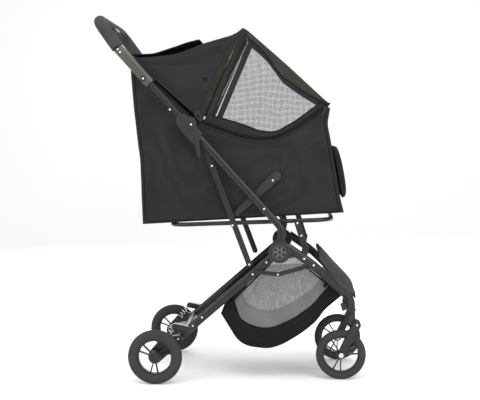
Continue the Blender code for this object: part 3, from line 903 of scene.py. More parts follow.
@dataclass
class Chassis:
    """Push tubes, hubs, legs, seat frame and the flat links between them."""

    palette: Palette
    tube_radius: float = 0.0105
    leg_radius: float = 0.0115
    tube_half_width: float = 0.007
    hub_radius: float = 0.030
    hub_span: tuple[float, float] = (0.1826, 0.2070)
    link_y: tuple[float, float] = (0.1765, 0.1820)
    knee_gap_y: tuple[float, float] = (0.1790, 0.1794)
    boss_y: float = 0.17615
    boss_half: float = 0.00385

    def tubes(self, side: Side) -> None:
        """Builds one side's push tube, front leg and rear leg.

        Args:
            side: The side of the stroller.
        """
        y = side.value * TUBE_Y
        room = Workshop.turned(HUB, side.value * 0.195, self.drum(self.hub_radius + 0.0003, 0.017), 48)
        path = Workshop.bend([up_tube(0.400, y), place(ELBOW, y), place((HUB[0], HUB[1] + 0.020), y)], 0.040,
                             14)
        push = Workshop.tube(path, self.tube_radius, self.tube_half_width / self.tube_radius, sides=10)
        push = Handle.carved(push, room.copy())
        show(push, side.node("oval_push_tube"), self.palette.paint,
             "frame", "frame", side.node("push_tube"))
        corners = [Vector((x, side.value * y, z)) for x, z, y in
                   ((0.160, 0.378, 0.192), (0.231, 0.329, 0.190), (0.303, 0.259, 0.160),
                    (0.336, 0.229, 0.129),
                    (0.336, 0.186, 0.129))]
        leg = Workshop.tube(Workshop.bend(corners, 0.035, 10), 0.0120, self.tube_half_width / 0.0120,
                            sides=10)
        ear = Workshop.plate([Workshop.bar(FRONT_LINK_FOOT, (0.203, 0.350), 0.018)],
                             *side.span(0.1828, 0.190))
        leg = Workshop.merged(Handle.carved(leg, room.copy()), Handle.carved(ear, room.copy()))
        show(leg, side.node("oval_front_leg"), self.palette.paint,
             "frame", "frame", side.node("front_leg"))
        y = side.value * 0.168
        along = (place(REAR_LEG_END, y) - place(HUB, y)).normalized()
        leg = Workshop.tube([place(HUB, y) - along * 0.010, place(REAR_LEG_END, y)], self.leg_radius,
                            self.tube_half_width / self.leg_radius, sides=10)
        boss = Workshop.turned(HUB, side.value * 0.176, self.drum(0.009, 0.006))
        seat = Workshop.plate([Workshop.bar((-0.112, 0.147), (-0.152, 0.155), 0.016)],
                              *side.span(0.1710, 0.1950), edge=0.002)
        show(Workshop.merged(leg, boss, seat), side.node("oval_rear_leg"), self.palette.paint,
             "rear_legs", "frame", side.node("rear_leg"))

    def hub(self, side: Side) -> None:
        """Builds one hub disc, with a raised rim, a recessed face and a plain emblem of six leaves.

        Args:
            side: The side of the stroller.
        """
        low, high = self.hub_span
        half = (high - low) / 2
        profile = [(0.0, half - 0.0015), (0.0210, half - 0.0015), (0.0222, half - 0.0010), (0.0230, half),
                   (0.0278, half), (0.0292, half - 0.0006), (self.hub_radius, half - 0.0022),
                   (self.hub_radius, 0.0015), (0.0291, 0.0010), (0.0291, -0.0010), (self.hub_radius, -0.0015),
                   (self.hub_radius, -half), (0.0, -half)]
        y = side.value * (low + high) / 2
        disc = Workshop.turned(HUB, y, [(r, z * -side.value) for r, z in profile])
        show(disc, side.node("hub_disc"), self.palette.plastic, "frame", "housings", side.node("hub"),
             smooth=30.0)
        face = side.value * (high - 0.0013)
        ring = Workshop.turned(HUB, face, self.flat_ring(0.0186, 0.0192))
        dot = Workshop.turned(HUB, face, self.flat_ring(0.0052, 0.0070))
        leaves = []
        for angle in range(0, 360, 60):
            tips = [Workshop.arc(HUB, reach, angle, angle, 1)[0] for reach in (0.0095, 0.0140)]
            leaves.append(Workshop.plate([Workshop.bar(*tips, 0.0022, 0.0034)], face - 0.0002, face + 0.0002,
                                         0.0001))
        show(Workshop.merged(ring, dot, *leaves), side.node("hub_emblem"), self.palette.emblem,
             "frame", "housings")

    @staticmethod
    def flat_ring(inner: float, outer: float, thick: float = 0.0004) -> list[Point]:
        """A thin ring's profile, to be turned."""
        return [(inner, thick / 2), (outer, thick / 2), (outer, -thick / 2), (inner, -thick / 2)]

    @staticmethod
    def drum(radius: float, half: float) -> list[Point]:
        """A solid disc's profile, to be turned."""
        return [(0.0, half), (radius, half), (radius, -half), (0.0, -half)]

    def links(self, side: Side) -> None:
        """Builds one side's strut, front link, knee and side stay.

        Args:
            side: The side of the stroller.
        """
        y = side.value
        inner, outer = self.link_y
        layer = side.span(inner, outer)
        boss = self.drum(0.005, self.boss_half)
        strut = Workshop.merged(Workshop.plate([Workshop.bar(STRUT_TOP, STRUT_FOOT, 0.016)], *layer,
                                               edge=0.0012),
                                Workshop.turned(SEAT_PIVOT, y * self.boss_y, boss, 24))
        link = Workshop.merged(
            Workshop.plate([Workshop.bar(SEAT_FRONT_PIVOT, FRONT_LINK_FOOT, 0.016)], *layer, edge=0.0012),
            Workshop.turned(SEAT_FRONT_PIVOT, y * self.boss_y, boss, 24))
        rear = Workshop.plate([Workshop.bar((0.085, 0.306), KNEE, 0.012)],
                              *side.span(inner, self.knee_gap_y[0]))
        front = Workshop.plate([Workshop.bar(KNEE, (0.218, 0.325), 0.012)],
                               *side.span(self.knee_gap_y[1], outer))
        for mesh, stem, body in ((strut, "strut", "struts"), (link, "front_link", "front_links"),
                                 (rear, "knee_rear", "knee_rears"), (front, "knee_front", "knee_fronts")):
            show(mesh, side.node(stem + "_bar"), self.palette.link, body, "links", side.node(stem))
        stay = Workshop.plate([Workshop.bar((0.018, 0.468), (0.128, 0.572), 0.017, 0.027)],
                              *side.span(0.1656, 0.1722), edge=0.0020)
        show(stay, side.node("stay"), self.palette.plastic, "seat", "housings",
             side.node("side_stay"))

    def cross_parts(self) -> None:
        """Builds the seat frame loop, rear axle, front cross tube and brake pedal."""
        rear, front, y = (-0.165, 0.4350), (0.281, 0.4525), 0.166
        corners = [place(rear, -y), place(front, -y), place(front, y), place(rear, y)]
        middle = (corners[0] + corners[3]) / 2
        path = Workshop.bend([middle, *corners, middle], 0.055, 12)[:-1]
        loop = Workshop.tube(path, 0.006, sides=6, cyclic=True)
        show(loop, "seat_loop", self.palette.paint, "seat", "frame", "seat_frame")
        for node, body, finish, slot in (("rear_axle", "rear_legs", self.palette.paint, "frame"),
                                         ("front_crossbar", "frame", self.palette.paint, "frame"),
                                         ("brake_pedal", "brake", self.palette.plastic, "housings")):
            show(copied(node), node + "_piece", finish, body, slot, node)

    def build(self) -> None:
        """Builds the whole chassis."""
        for side in Side:
            self.tubes(side)
            self.hub(side)
            self.links(side)
        self.cross_parts()


@dataclass
class Wheel:
    """One wheel's sizes."""

    kind: str
    centre: Point
    y: float
    radius: float
    inner: float
    width: float
    hub: float
    phase: float


@dataclass
class RunningGear:
    """The four wheels, their forks and arms, and the small controls beside them."""

    palette: Palette
    wheels: tuple[Wheel, ...] = (Wheel("rear", REAR_WHEEL, REAR_WHEEL_Y, 0.075, 0.048, 0.028, 0.0180, -93.0),
                                 Wheel("front", FRONT_WHEEL, CASTER_Y, 0.070, 0.050, 0.024, 0.0130, -104.0))
    spoke: float = 0.0018
    lip: float = 0.0024
    gap: float = 0.0003
    coil_radius: float = 0.0062
    wire: float = 0.0013
    coil_turns: int = 4
    turn_steps: int = 24

    def rim(self, wheel: Wheel, side: Side) -> bpy.types.Object:
        """A pierced rim with three pairs of spokes, a hub barrel and a lipped edge.

        Args:
            wheel: The wheel's sizes.
            side: Its side.

        Returns:
            The rim.
        """
        outer = wheel.inner - self.gap
        ring = outer - self.lip
        y = side.value * wheel.y
        outlines = [Workshop.arc(wheel.centre, ring + self.lip * 0.9, 0, 360, 96)[:-1]]
        for pair in range(3):
            middle = wheel.phase + pair * 120
            for start, end in ((middle - 13, middle + 13), (middle + 13, middle + 107)):
                trim = math.degrees(self.spoke / ring)
                hub_trim = math.degrees(self.spoke / wheel.hub) * 0.8
                steps = max(4, int((end - start) / 5))
                outlines.append(Workshop.arc(wheel.centre, ring, start + trim, end - trim, steps)
                                + Workshop.arc(wheel.centre, wheel.hub, end - hub_trim, start + hub_trim,
                                               steps))
        half = wheel.width * 0.28
        disc = Workshop.plate(outlines, y - half * 0.7, y + half * 0.7, edge=0.0004)
        lip = Workshop.turned(wheel.centre, y, [(ring - 0.0002, half), (outer, half), (outer, -half),
                                                (ring - 0.0002, -half), (ring + self.lip * 0.4, -half * 0.6),
                                                (ring + self.lip * 0.4, half * 0.6)])
        end = wheel.width * 0.46
        cap = Workshop.turned(wheel.centre, y, [(0.0, end - 0.0015), (wheel.hub * 0.35, end - 0.0012),
                                                (wheel.hub * 0.50, end), (wheel.hub * 0.74, end),
                                                (wheel.hub * 0.82, end - 0.001), (wheel.hub * 0.90, half),
                                                (wheel.hub * 0.90, -half), (wheel.hub * 0.82, 0.001 - end),
                                                (wheel.hub * 0.5, -end), (0.0, -end)])
        return Workshop.finish(Workshop.merged(disc, lip, cap), side.node(wheel.kind + "_spokes"),
                               [self.palette.rim], 30.0)

    def tyre(self, wheel: Wheel, side: Side) -> bpy.types.Object:
        """A soft tyre with rounded shoulders and two fine grooves round its tread.

        Args:
            wheel: The wheel's sizes.
            side: Its side.

        Returns:
            The tyre.
        """
        half, depth = wheel.width / 2, wheel.radius - wheel.inner
        section = [(wheel.inner, half * 0.62), (wheel.inner + depth * 0.10, half * 0.86)]
        steps, grooves = 12, (4, 8)
        for k in range(1, steps):
            angle = math.pi * k / steps
            width = half * math.cos(angle)
            tread = wheel.radius - depth * 0.62 * (1 - math.sin(angle) ** 0.75)
            section.append((tread, width))
            if k in grooves:
                section.append((tread - 0.0008, width - 0.0006))
        section += [(wheel.inner + depth * 0.10, -half * 0.86), (wheel.inner, -half * 0.62)]
        tyre = Workshop.turned(wheel.centre, side.value * wheel.y, section)
        return Workshop.finish(tyre, side.node(wheel.kind + "_foam_tyre"), [self.palette.tyre], 50.0)

    def controls(self, side: Side) -> None:
        """Dresses one side's caster, fork, swing arm, spring and swivel lock.

        Args:
            side: The side of the stroller.
        """
        end = "_" + side.name.lower()
        for stem in ("caster", "fork", "swing_arm", "swivel_lock"):
            body = stem + end
            show(copied(body), stem + "_shell" + end, self.palette.plastic, body, "housings", body,
                 smooth=20.0)
        start, stop = place((-0.184, 0.116), side.value * 0.187), place((-0.152, 0.155), side.value * 0.187)
        axis = (stop - start).normalized()
        start, stop = start + axis * 0.0018, stop - axis * 0.0100
        across = axis.cross(Vector((0, 1, 0))).normalized()
        other = axis.cross(across)
        points = self.coil_turns * self.turn_steps
        coil = []
        for k in range(points + 1):
            angle = k * math.tau / self.turn_steps
            coil.append(start.lerp(stop, k / points)
                        + (across * math.cos(angle) + other * math.sin(angle)) * self.coil_radius)
        spring = Workshop.finish(Workshop.tube(coil, self.wire, sides=3), "coil" + end, [self.palette.steel])
        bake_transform(spring)
        stand(spring, "springs", "spring" + end)

    def build(self) -> None:
        """Builds all the wheels and the fittings beside them."""
        for side in Side:
            for wheel in self.wheels:
                body = f"{wheel.kind}_wheel_{side.name.lower()}"
                attach(self.rim(wheel, side), body, "rims", side.node(wheel.kind + "_rim"))
                attach(self.tyre(wheel, side), body, "tyres", side.node(wheel.kind + "_tyre"))
            self.controls(side)


# ---------------------------------------------------------------- soft goods

class Sewing:
    """Seams, piping and stitches that every soft piece uses."""

    @staticmethod
    def painted(mesh: bpy.types.Mesh, slot: int) -> bpy.types.Mesh:
        """Gives every face of a mesh one material slot."""
        while len(mesh.materials) <= slot:
            mesh.materials.append(None)
        for face in mesh.polygons:
            face.material_index = slot
        return mesh

    @staticmethod
    def piping(points: list[Vector], radius: float = 0.0016, flat: float = 1.0,
               slot: int = 0) -> bpy.types.Mesh:
        """A round cord of cloth along a seam.

        Args:
            points: The seam.
            radius: The cord's radius.
            flat: Its width as a share of its depth.
            slot: Its material slot.

        Returns:
            The mesh.
        """
        return Sewing.painted(Workshop.tube(points, radius, flat, sides=2), slot)

    @staticmethod
    def stitches(points: list[Vector], outward: Vector, pitch: float) -> list[tuple[Vector, Vector]]:
        """Evenly spaced stitches along a line.

        Args:
            points: The line.
            outward: How far the thread stands off it.
            pitch: The distance between stitches.

        Returns:
            Their middles and directions.
        """
        spots = []
        travelled, due = 0.0, pitch / 2
        for a, b in zip(points, points[1:]):
            length = (b - a).length
            while length > 0.0 and due <= travelled + length:
                spots.append((a.lerp(b, (due - travelled) / length) + outward, (b - a).normalized()))
                due += pitch
            travelled += length
        return spots

    @staticmethod
    def crumple(point: Vector, depth: float, scale: float = 11.0) -> float:
        """How far the cloth stands out of its smooth shape here.

        Args:
            point: A place on the cloth.
            depth: The deepest fold.
            scale: Folds in a metre.

        Returns:
            The distance outwards.
        """
        slow = noise.noise(Vector((point.x * scale, point.y * scale, point.z * scale * 0.6)))
        fast = noise.noise(Vector((point.x * scale * 3.1 + 7.0, point.y * scale * 2.0,
                                   point.z * scale * 2.3)))
        return depth * (0.75 * slow + 0.25 * fast)


@dataclass
class Cabin:
    """The cloth cabin: its shell, seams, front roll and padded floor."""

    palette: Palette
    half: float = 0.1612
    corner: float = 0.010
    bulge: float = 0.0028
    side_steps: int = 56
    rows: int = 44
    roll_half: float = 0.1295
    pad_size: tuple[float, float, float] = (0.500, 0.296, 0.017)
    pad_middle: tuple[float, float, float] = (0.031, 0.0, 0.4815)
    pad_rise: float = 0.0245
    swell: float = 0.006
    channels: tuple[float, ...] = (-0.085, 0.031, 0.147)

    def top_height(self, x: float) -> float:
        """The height of the cabin's top edge above this X."""
        line = [(-0.277, 0.897), (-0.092, 0.722), (-0.074, 0.722), *ZIP_LINE, (0.275, 0.758)]
        for a, b in zip(line, line[1:]):
            if x <= b[0]:
                t = max(0.0, (x - a[0]) / (b[0] - a[0]))
                return a[1] + (b[1] - a[1]) * t
        return line[-1][1]

    def wall_point(self, share: float, rise: float) -> Point:
        """A point of the side wall.

        Args:
            share: From the rear, 0, to the front, 1.
            rise: From the floor, 0, to the top edge, 1.

        Returns:
            The point, as (X, Z).
        """
        foot = (-0.246 + 0.560 * share, 0.4365 + 0.035 * share)
        top_x = CABIN_TOP_REAR + CABIN_TOP_LENGTH * share
        top = (top_x, self.top_height(top_x))
        x, z = foot[0] + (top[0] - foot[0]) * rise, foot[1] + (top[1] - foot[1]) * rise
        rear = REAR_EDGE.smooth((0.459 * rise) / REAR_EDGE.lengths[-1]) if rise < 1.0 else (-0.277, 0.897)
        front = FRONT_EDGE.smooth(rise)
        rear_line = -0.246 - 0.031 * rise
        front_line = 0.314 - 0.039 * rise
        x += (rear[0] - rear_line) * (1 - share) + (front[0] - front_line) * share
        return x, z

    def columns(self) -> list[tuple[float, float, Vector]]:
        """The places round the shell.

        Returns:
            Each place's share along the side, its Y and the way that the cloth faces.
        """
        length, quarter = 0.555, 8
        ring = [(0.0, -(self.half - self.corner) * k / 8, Vector((-1, 0, 0))) for k in range(9)]
        for k in range(1, quarter):
            a = math.pi / 2 * k / quarter
            ring.append((self.corner * (1 - math.cos(a)) / length,
                         -(self.half - self.corner + self.corner * math.sin(a)),
                         Vector((-math.cos(a), -math.sin(a), 0))))
        near = self.corner / length
        for k in range(self.side_steps + 1):
            ring.append((near + (1 - 2 * near) * k / self.side_steps, -self.half, Vector((0, -1, 0))))
        for k in range(1, quarter):
            a = math.pi / 2 * (1 - k / quarter)
            ring.append((1 - self.corner * (1 - math.cos(a)) / length,
                         -(self.half - self.corner + self.corner * math.sin(a)),
                         Vector((math.cos(a), -math.sin(a), 0))))
        for k in range(9):
            ring.append((1.0, -(self.half - self.corner) * (1 - k / 8), Vector((1, 0, 0))))
        mirror = [(s, -y, Vector((n.x, -n.y, 0))) for s, y, n in reversed(ring[1:-1])]
        return ring + mirror

    def surface(self, share: float, y: float, way: Vector, rise: float) -> Vector:
        """A point of the shell, with its bulge and folds.

        Args:
            share: From the rear, 0, to the front, 1.
            y: Its width.
            way: The way that the cloth faces.
            rise: From the floor, 0, to the top edge, 1.

        Returns:
            The point.
        """
        x, z = self.wall_point(share, rise)
        spot = Vector((x, y, z))
        middle = math.sin(math.pi * min(1.0, rise * 0.92 + 0.04)) ** 0.8
        if abs(way.y) > 0.5:
            out = self.bulge * middle * math.sin(math.pi * share) ** 0.5 - 0.0012
            out += Sewing.crumple(spot, 0.0022) * middle
            crease = (x - 0.1995) * 0.7632 - (z - 0.645) * 0.6462
            reach = 0.570 < z < 0.735 and 0.10 < x < 0.285
            out -= 0.0030 * math.exp(-(crease / 0.006) ** 2) if reach else 0.0
            out = min(out, 0.0032)
        else:
            across = 1.0 - (y / self.half) ** 2
            out = (0.0035 if way.x > 0 else 0.0050) * middle * across + Sewing.crumple(spot, 0.0024) * middle
        return spot + way * out

    def shell(self) -> None:
        """Builds the one-piece shell with its floor."""
        ring = self.columns()
        rows = [[self.surface(s, y, n, v / self.rows) for s, y, n in ring] for v in range(self.rows, -1, -1)]
        centre = Vector((0.034, 0.0, 0.4545))
        for shrink in (0.985, 0.93, 0.75, 0.5, 0.25):
            drop = 0.0008 * (1 - shrink)
            rows.append([centre + Vector(((p.x - centre.x) * shrink, p.y * shrink, (p.z - centre.z) * shrink - drop))
                         for p in rows[self.rows]])
        rows.append([centre.copy() for _ in ring])
        mesh = Workshop.sheet(rows, 0.0022, closed=True)
        piece = Workshop.finish(mesh, "cabin_shell", [self.palette.canvas], 60.0)
        attach(piece, "seat", "cabin_cloth", "cabin_tub")

    def seams(self) -> None:
        """Builds the piping and stitches along the shell's seams, and a black cord of painted shadow under the
        canopy's rear edge.
        """
        piping_and_shadow_cord, threads = [], []
        for side in Side:
            way = Vector((0, side.value, 0))

            def on(share: float, rise: float) -> Vector:
                """A point on this side's wall."""
                return self.surface(share, side.value * self.half, way, rise)

            def at_x(x: float, drop: float) -> Vector:
                """A point this far below the top edge at this X."""
                share = (x - CABIN_TOP_REAR) / CABIN_TOP_LENGTH
                height = self.top_height(x)
                return on(share, 1.0 - drop / (height - 0.455))

            bottom = [on(0.03 + 0.94 * k / 40, 0.012) + way * 0.0006 for k in range(41)]
            rear = [on(0.018, 0.02 + 0.96 * k / 30) + way * 0.0002 for k in range(31)]
            front = [on(0.982, 0.02 + 0.96 * k / 24) + way * 0.0002 for k in range(25)]
            # painted shadow: this black cord just under the top edge, where the canopy's rear edge lies on the
            # cabin, stands for the shadow line that the drooping edge casts
            edge = [at_x(-0.262 + 0.170 * k / 24, 0.004) + way * 0.0010 for k in range(25)]
            lower_zip = [at_x(-0.070 + 0.335 * k / 60, 0.0045) + way * 0.0014 for k in range(61)]
            hem = [at_x(-0.068 + 0.330 * k / 60, 0.0140) + way * 0.0004 for k in range(61)]
            piping_and_shadow_cord += [Sewing.piping(line, 0.0014) for line in (bottom, rear, front, edge)]
            piping_and_shadow_cord += [Sewing.piping(lower_zip, 0.0020), Sewing.piping(hem, 0.0006)]
            for line in ([on(0.03 + 0.94 * k / 40, 0.035) for k in range(41)],
                         [at_x(-0.255 + 0.160 * k / 24, 0.011) for k in range(25)],
                         [on(0.945, 0.03 + 0.93 * k / 24) for k in range(25)]):
                threads += Sewing.stitches(line, way * 0.0004, 0.0042)
        # the piping object also holds the painted shadow cord under the canopy's rear edge
        show(Workshop.merged(*piping_and_shadow_cord), "cabin_piping_and_shadow_cord", self.palette.band, "seat", "cabin_cloth")
        stitches = Fittings.repeated("cabin_stitches", threads, Fitting.PEG,
                                     {"Radius": 0.00028, "Length": 0.0027},
                                     self.palette.thread)
        attach(stitches, "seat", "cabin_cloth")

    def pocket(self) -> None:
        """Builds the soft roll on the front, with two straps round it."""
        outline = [(0.2825, 0.6540), (0.2900, 0.6545), (0.2975, 0.6480), (0.3040, 0.6300), (0.3095, 0.6080),
                   (0.3150, 0.5800), (0.3190, 0.5550), (0.3215, 0.5300), (0.3200, 0.5140), (0.3110, 0.5085),
                   (0.3060, 0.5200), (0.2990, 0.5650), (0.2885, 0.6200)]
        centre = (sum(p[0] for p in outline) / len(outline), sum(p[1] for p in outline) / len(outline))
        loop = Curve(outline + outline[:1])
        rows = []
        steps = 48
        for k in range(41):
            y = self.roll_half * (k / 20 - 1)
            end = min(1.0, (1 - abs(y) / self.roll_half) / 0.09)
            shrink = 0.80 + 0.20 * math.sqrt(max(0.0, 1 - (1 - end) ** 2))
            row = []
            for j in range(steps):
                x, z = loop.smooth(j / steps, 0.02)
                spot = Vector((centre[0] + (x - centre[0]) * shrink, y, centre[1] + (z - centre[1]) * shrink))
                out = Vector((x - centre[0], 0, z - centre[1])).normalized()
                row.append(spot + out * min(0.0012, Sewing.crumple(spot, 0.0030, 16.0)))
            rows.append(row)
        for index in (0, -1):
            y = rows[index][0].y
            hub = Vector((centre[0], y, centre[1]))
            inner = [[hub.lerp(p, t) for p in rows[index]] for t in (0.75, 0.4, 0.0)]
            rows = list(reversed(inner)) + rows if index == 0 else rows + inner
        shape = bmesh.new()
        grid = [[shape.verts.new(p) for p in row] for row in rows]
        for low, high in zip(grid, grid[1:]):
            for j in range(steps):
                k = (j + 1) % steps
                shape.faces.new((low[j], low[k], high[k], high[j]))
        piece = show(Workshop.taken(shape, "roll"), "front_roll", self.palette.canvas, "seat", "cabin_cloth",
                     "front_pocket")
        straps = []
        for y in (-0.085, 0.085):
            band = [Vector((centre[0] + (x - centre[0]) * 1.06, y, centre[1] + (z - centre[1]) * 1.012))
                    for x, z in (loop.smooth(0.04 + 0.66 * k / 24, 0.02) for k in range(25))]
            straps.append(Workshop.tube(band, 0.0011, 9.0, 2))
        show(Workshop.merged(*straps), "roll_straps", self.palette.band, "seat", "cabin_cloth")

    def pad(self) -> None:
        """Builds the padded floor by swelling a slightly smaller slab, then sews its channels."""
        slope = math.atan2(0.035, 0.560)
        slab = Workshop.block(Vector(self.pad_middle), Vector(self.pad_size), slope, 0.006)
        obj = bpy.data.objects.new("slab", slab)
        mesher = obj.modifiers.new("Even", "REMESH")
        mesher.mode = "VOXEL"
        mesher.voxel_size = 0.006
        mesh = Workshop.applied(obj)
        obj = bpy.data.objects.new("slab", mesh)
        bpy.context.scene.collection.objects.link(obj)
        obj = self.swollen(obj)
        for vertex in obj.data.vertices:
            middle = self.pad_middle[2] + (vertex.co.x - self.pad_middle[0]) * math.tan(slope)
            top = self.pad_middle[2] + self.pad_rise + (vertex.co.x - self.pad_middle[0]) * math.tan(slope)
            for seam in self.channels:
                gap = abs(vertex.co.x - seam)
                if gap < 0.016 and vertex.co.z > middle:
                    vertex.co.z -= 0.0042 * math.exp(-(gap / 0.006) ** 2)
            vertex.co.z = min(vertex.co.z, top)
        smooth = obj.modifiers.new("Smooth", "SUBSURF")
        smooth.levels = smooth.render_levels = 1
        piece = show(Workshop.applied(obj), "seat_cushion", self.palette.lining, "seat", "cabin_cloth",
                     "seat_pad",
                     smooth=180.0)

    def swollen(self, obj: bpy.types.Object) -> bpy.types.Object:
        """Swells a pad with a short cloth simulation under pressure.

        Args:
            obj: The flat pad.

        Returns:
            The swollen pad, with no modifier left on it.
        """
        rest = [v.co.copy() for v in obj.data.vertices]
        cloth = obj.modifiers.new("Swell", "CLOTH")
        cloth.settings.use_pressure = True
        cloth.settings.uniform_pressure_force = 4.0
        cloth.settings.effector_weights.gravity = 0.0
        for step in range(1, 21):
            bpy.context.scene.frame_set(step)
        mesh = Workshop.applied(obj)
        bpy.context.scene.frame_set(1)
        for vertex, start in zip(mesh.vertices, rest):
            move = vertex.co - start
            vertex.co = start + move.normalized() * min(move.length, self.swell)
        swollen = bpy.data.objects.new("slab", mesh)
        bpy.context.scene.collection.objects.link(swollen)
        return swollen

    def build(self) -> None:
        """Builds the whole cabin."""
        self.shell()
        self.seams()
        self.pocket()
        self.pad()


@dataclass
class Canopy:
    """The folding canopy: rear fan, front fan with its net windows, bow, hoop and rear flap."""

    palette: Palette
    half: float = 0.1628
    corner: float = 0.012
    stations: int = 34
    front_stations: int = 42
    wall: float = 0.0016
    side_steps: int = 16
    roof_steps: int = 12
    fold_column: int = 11
    flap_half: float = 0.158
    band_share: float = 0.05
    front_steps: tuple[int, int, int] = (10, 12, 6)
    strip_columns: int = 38

    def arch(self, low: Point, high: Point, crown: float) -> list[Vector]:
        """One row of the rear fan, up one side, over the roof and down the other.

        Args:
            low: The row's foot on each side.
            high: Its place on the roof.
            crown: How far the roof dips between its sides.

        Returns:
            The points.
        """
        foot, head = place(low, -self.half), place(high, -self.half)
        rise = head - foot
        near = min(self.corner, rise.length * 0.8)
        up = rise.normalized() if rise.length > 1e-6 else Vector((0, 0, 1))
        points = []
        for k in range(self.side_steps):
            share = k / self.side_steps
            spot = foot + (rise - up * near) * share
            spot.y -= min(0.0016, 0.0012 * math.sin(math.pi * share) + Sewing.crumple(spot, 0.0010))
            points.append(spot)
        for k in range(6):
            a = math.pi / 2 * k / 6
            points.append(head - up * near * (1 - math.sin(a)) + Vector((0, near * (1 - math.cos(a)), 0)))
        inner = self.half - near
        for k in range(self.roof_steps + 1):
            y = -inner + inner * k / self.roof_steps
            dip = crown * (1 - (y / inner) ** 2) if inner else 0.0
            points.append(head + Vector((0, y + self.half, -dip)))
        return points + [Vector((p.x, -p.y, p.z)) for p in reversed(points[:-1])]

    def rear(self) -> None:
        """Builds the rear fan, from the cabin's rear corner to the bow."""
        roof = Curve(ROOF)
        rows, paint = [], []
        for k in range(self.stations + 1):
            t = k / self.stations
            low = (-0.277 + 0.2000 * t, 0.897 - 0.1735 * t)
            row = self.arch(low, roof.smooth(t, 0.05), 0.004 * math.sin(math.pi * t))
            rows.append(row)
            paint.append([1 if t > 0.895 else 0] * len(row))
        mesh = Workshop.sheet(rows, self.wall, paint=paint)
        binding = rows[round(self.stations * 0.90)]
        seams = [Sewing.piping([p + Vector((0, 0, 0.0004)) for p in binding], 0.0010, slot=1),
                 Sewing.piping([row[self.fold_column] + Vector((0, -0.0003, 0)) for row in rows[8:]], 0.0004)]
        piece = Workshop.finish(Workshop.merged(mesh, *seams), "rear_canopy_cloth",
                                [self.palette.canvas, self.palette.binding], 60.0)
        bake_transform(piece)
        stand(piece, "cabin_cloth", "canopy_rear")

    def front(self) -> None:
        """Builds the front fan: bow band, lower band, net window, front strip and roof panel."""
        starts = [(-0.073, 0.7225), (-0.0662, 0.7390), (0.0275, 0.9620), (0.0346, 0.9790)]
        curves = [Curve([(-0.063, 0.7185), *ZIP_LINE, (0.272, 0.770)]),
                  Curve([(-0.0570, 0.7395), (-0.0410, 0.7360), (0.029, 0.7165), (0.0725, 0.698),
                         (0.119, 0.692),
                         (0.1406, 0.701), (0.1838, 0.726), (0.2487, 0.7750), (0.2720, 0.7702)]),
                  Curve([(0.0385, 0.9600), (0.060, 0.9420), (0.0908, 0.9145), (0.1406, 0.8464),
                         (0.195, 0.808),
                         (0.2487, 0.7757), (0.2720, 0.7704)]),
                  Curve([(0.0460, 0.9730), *FRONT_TOP[1:]])]
        rows, paint = [], []
        for k in range(self.front_stations + 1):
            t = k / self.front_stations
            spots = []
            for start, curve in zip(starts, curves):
                if t <= self.band_share:
                    end = curve.at(0.0)
                    share = t / self.band_share
                    spots.append((start[0] + (end[0] - start[0]) * share,
                                  start[1] + (end[1] - start[1]) * share))
                else:
                    share = (t - self.band_share) / (1 - self.band_share)
                    spots.append(curve.smooth(share, 0.03) if 0.02 < share < 0.98 else curve.at(share))
            row = self.front_row(spots, 0.003 * math.sin(math.pi * t))
            rows.append(row)
            paint.append([self.front_slot(j, len(row), t) for j in range(len(row))])
        mesh = Workshop.sheet(rows, self.wall, paint=paint)
        first = round(self.band_share * self.front_stations) + 1
        low, high = self.front_steps[0], sum(self.front_steps[:2])
        lines = [[row[column] for row in rows[first:]] for column in (low, high, -low - 1, -high - 1)]
        lines += [rows[first][low:high + 1], rows[first][-high - 1:-low]]
        seams = [Sewing.piping([outwards(p, 0.0006) for p in line], 0.0015, slot=2) for line in lines]
        for edge in (0, -1):
            seams.append(Sewing.piping([outwards(row[edge], 0.0008, 0.0012) for row in rows[2:]], 0.0020,
                                       slot=2))
        seams.append(Sewing.piping([p + Vector((0.0006, 0, 0.0006)) for p in rows[-1]], 0.0024, slot=2))
        piece = Workshop.finish(Workshop.merged(mesh, *seams), "front_canopy_cloth",
                                [self.palette.panel_dark, self.palette.binding, self.palette.band,
                                 self.palette.window, self.palette.canvas], 60.0)
        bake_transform(piece)
        stand(piece, "mesh_cloth", "canopy_front")

    def front_row(self, spots: list[Point], dip: float) -> list[Vector]:
        """One row of the front fan through its four side points.

        Args:
            spots: The row's points on the side, from the zip up to the roof.
            dip: How far the roof sags.

        Returns:
            The row.
        """
        points = []
        for a, b, steps in zip(spots, spots[1:], self.front_steps):
            for k in range(steps):
                spot = place(a, -self.half).lerp(place(b, -self.half), k / steps)
                spot.y -= min(0.0012, Sewing.crumple(spot, 0.0012))
                points.append(spot)
        head = place(spots[-1], -self.half)
        back = place(spots[-2], -self.half) - head
        near = min(0.010, back.length * 0.8)
        way = back.normalized() if back.length > 1e-6 else Vector((0, 0, -1))
        for k in range(7):
            a = math.pi / 2 * k / 6
            points.append(head + way * near * (1 - math.sin(a)) + Vector((0, near * (1 - math.cos(a)), 0)))
        if back.length > near:
            points[sum(self.front_steps) - 1] = place(spots[-2], -self.half).lerp(head + way * near, 5 / 6)
        for k in range(1, 15):
            y = -(self.half - near) * (1 - k / 14)
            sag = dip * (1 - (y / self.half) ** 2)
            points.append(Vector((head.x, y, head.z - sag)))
        return points + [Vector((p.x, -p.y, p.z)) for p in reversed(points[:-1])]

    def front_slot(self, column: int, count: int, t: float) -> int:
        """The material slot of one cell of the front fan.

        Args:
            column: The cell's place along its row.
            count: Points in the row.
            t: The row's share of the fan.

        Returns:
            The slot: 0 for the front strip, 1 binding, 3 net, 4 canvas.
        """
        from_edge = min(column, count - 2 - column)
        if t < self.band_share - 0.001:
            return 1
        if from_edge < self.front_steps[0]:
            return 4
        if from_edge < sum(self.front_steps[:2]):
            return 3
        if from_edge < self.strip_columns or t < 0.30 or t > 0.93:
            return 0
        return 3

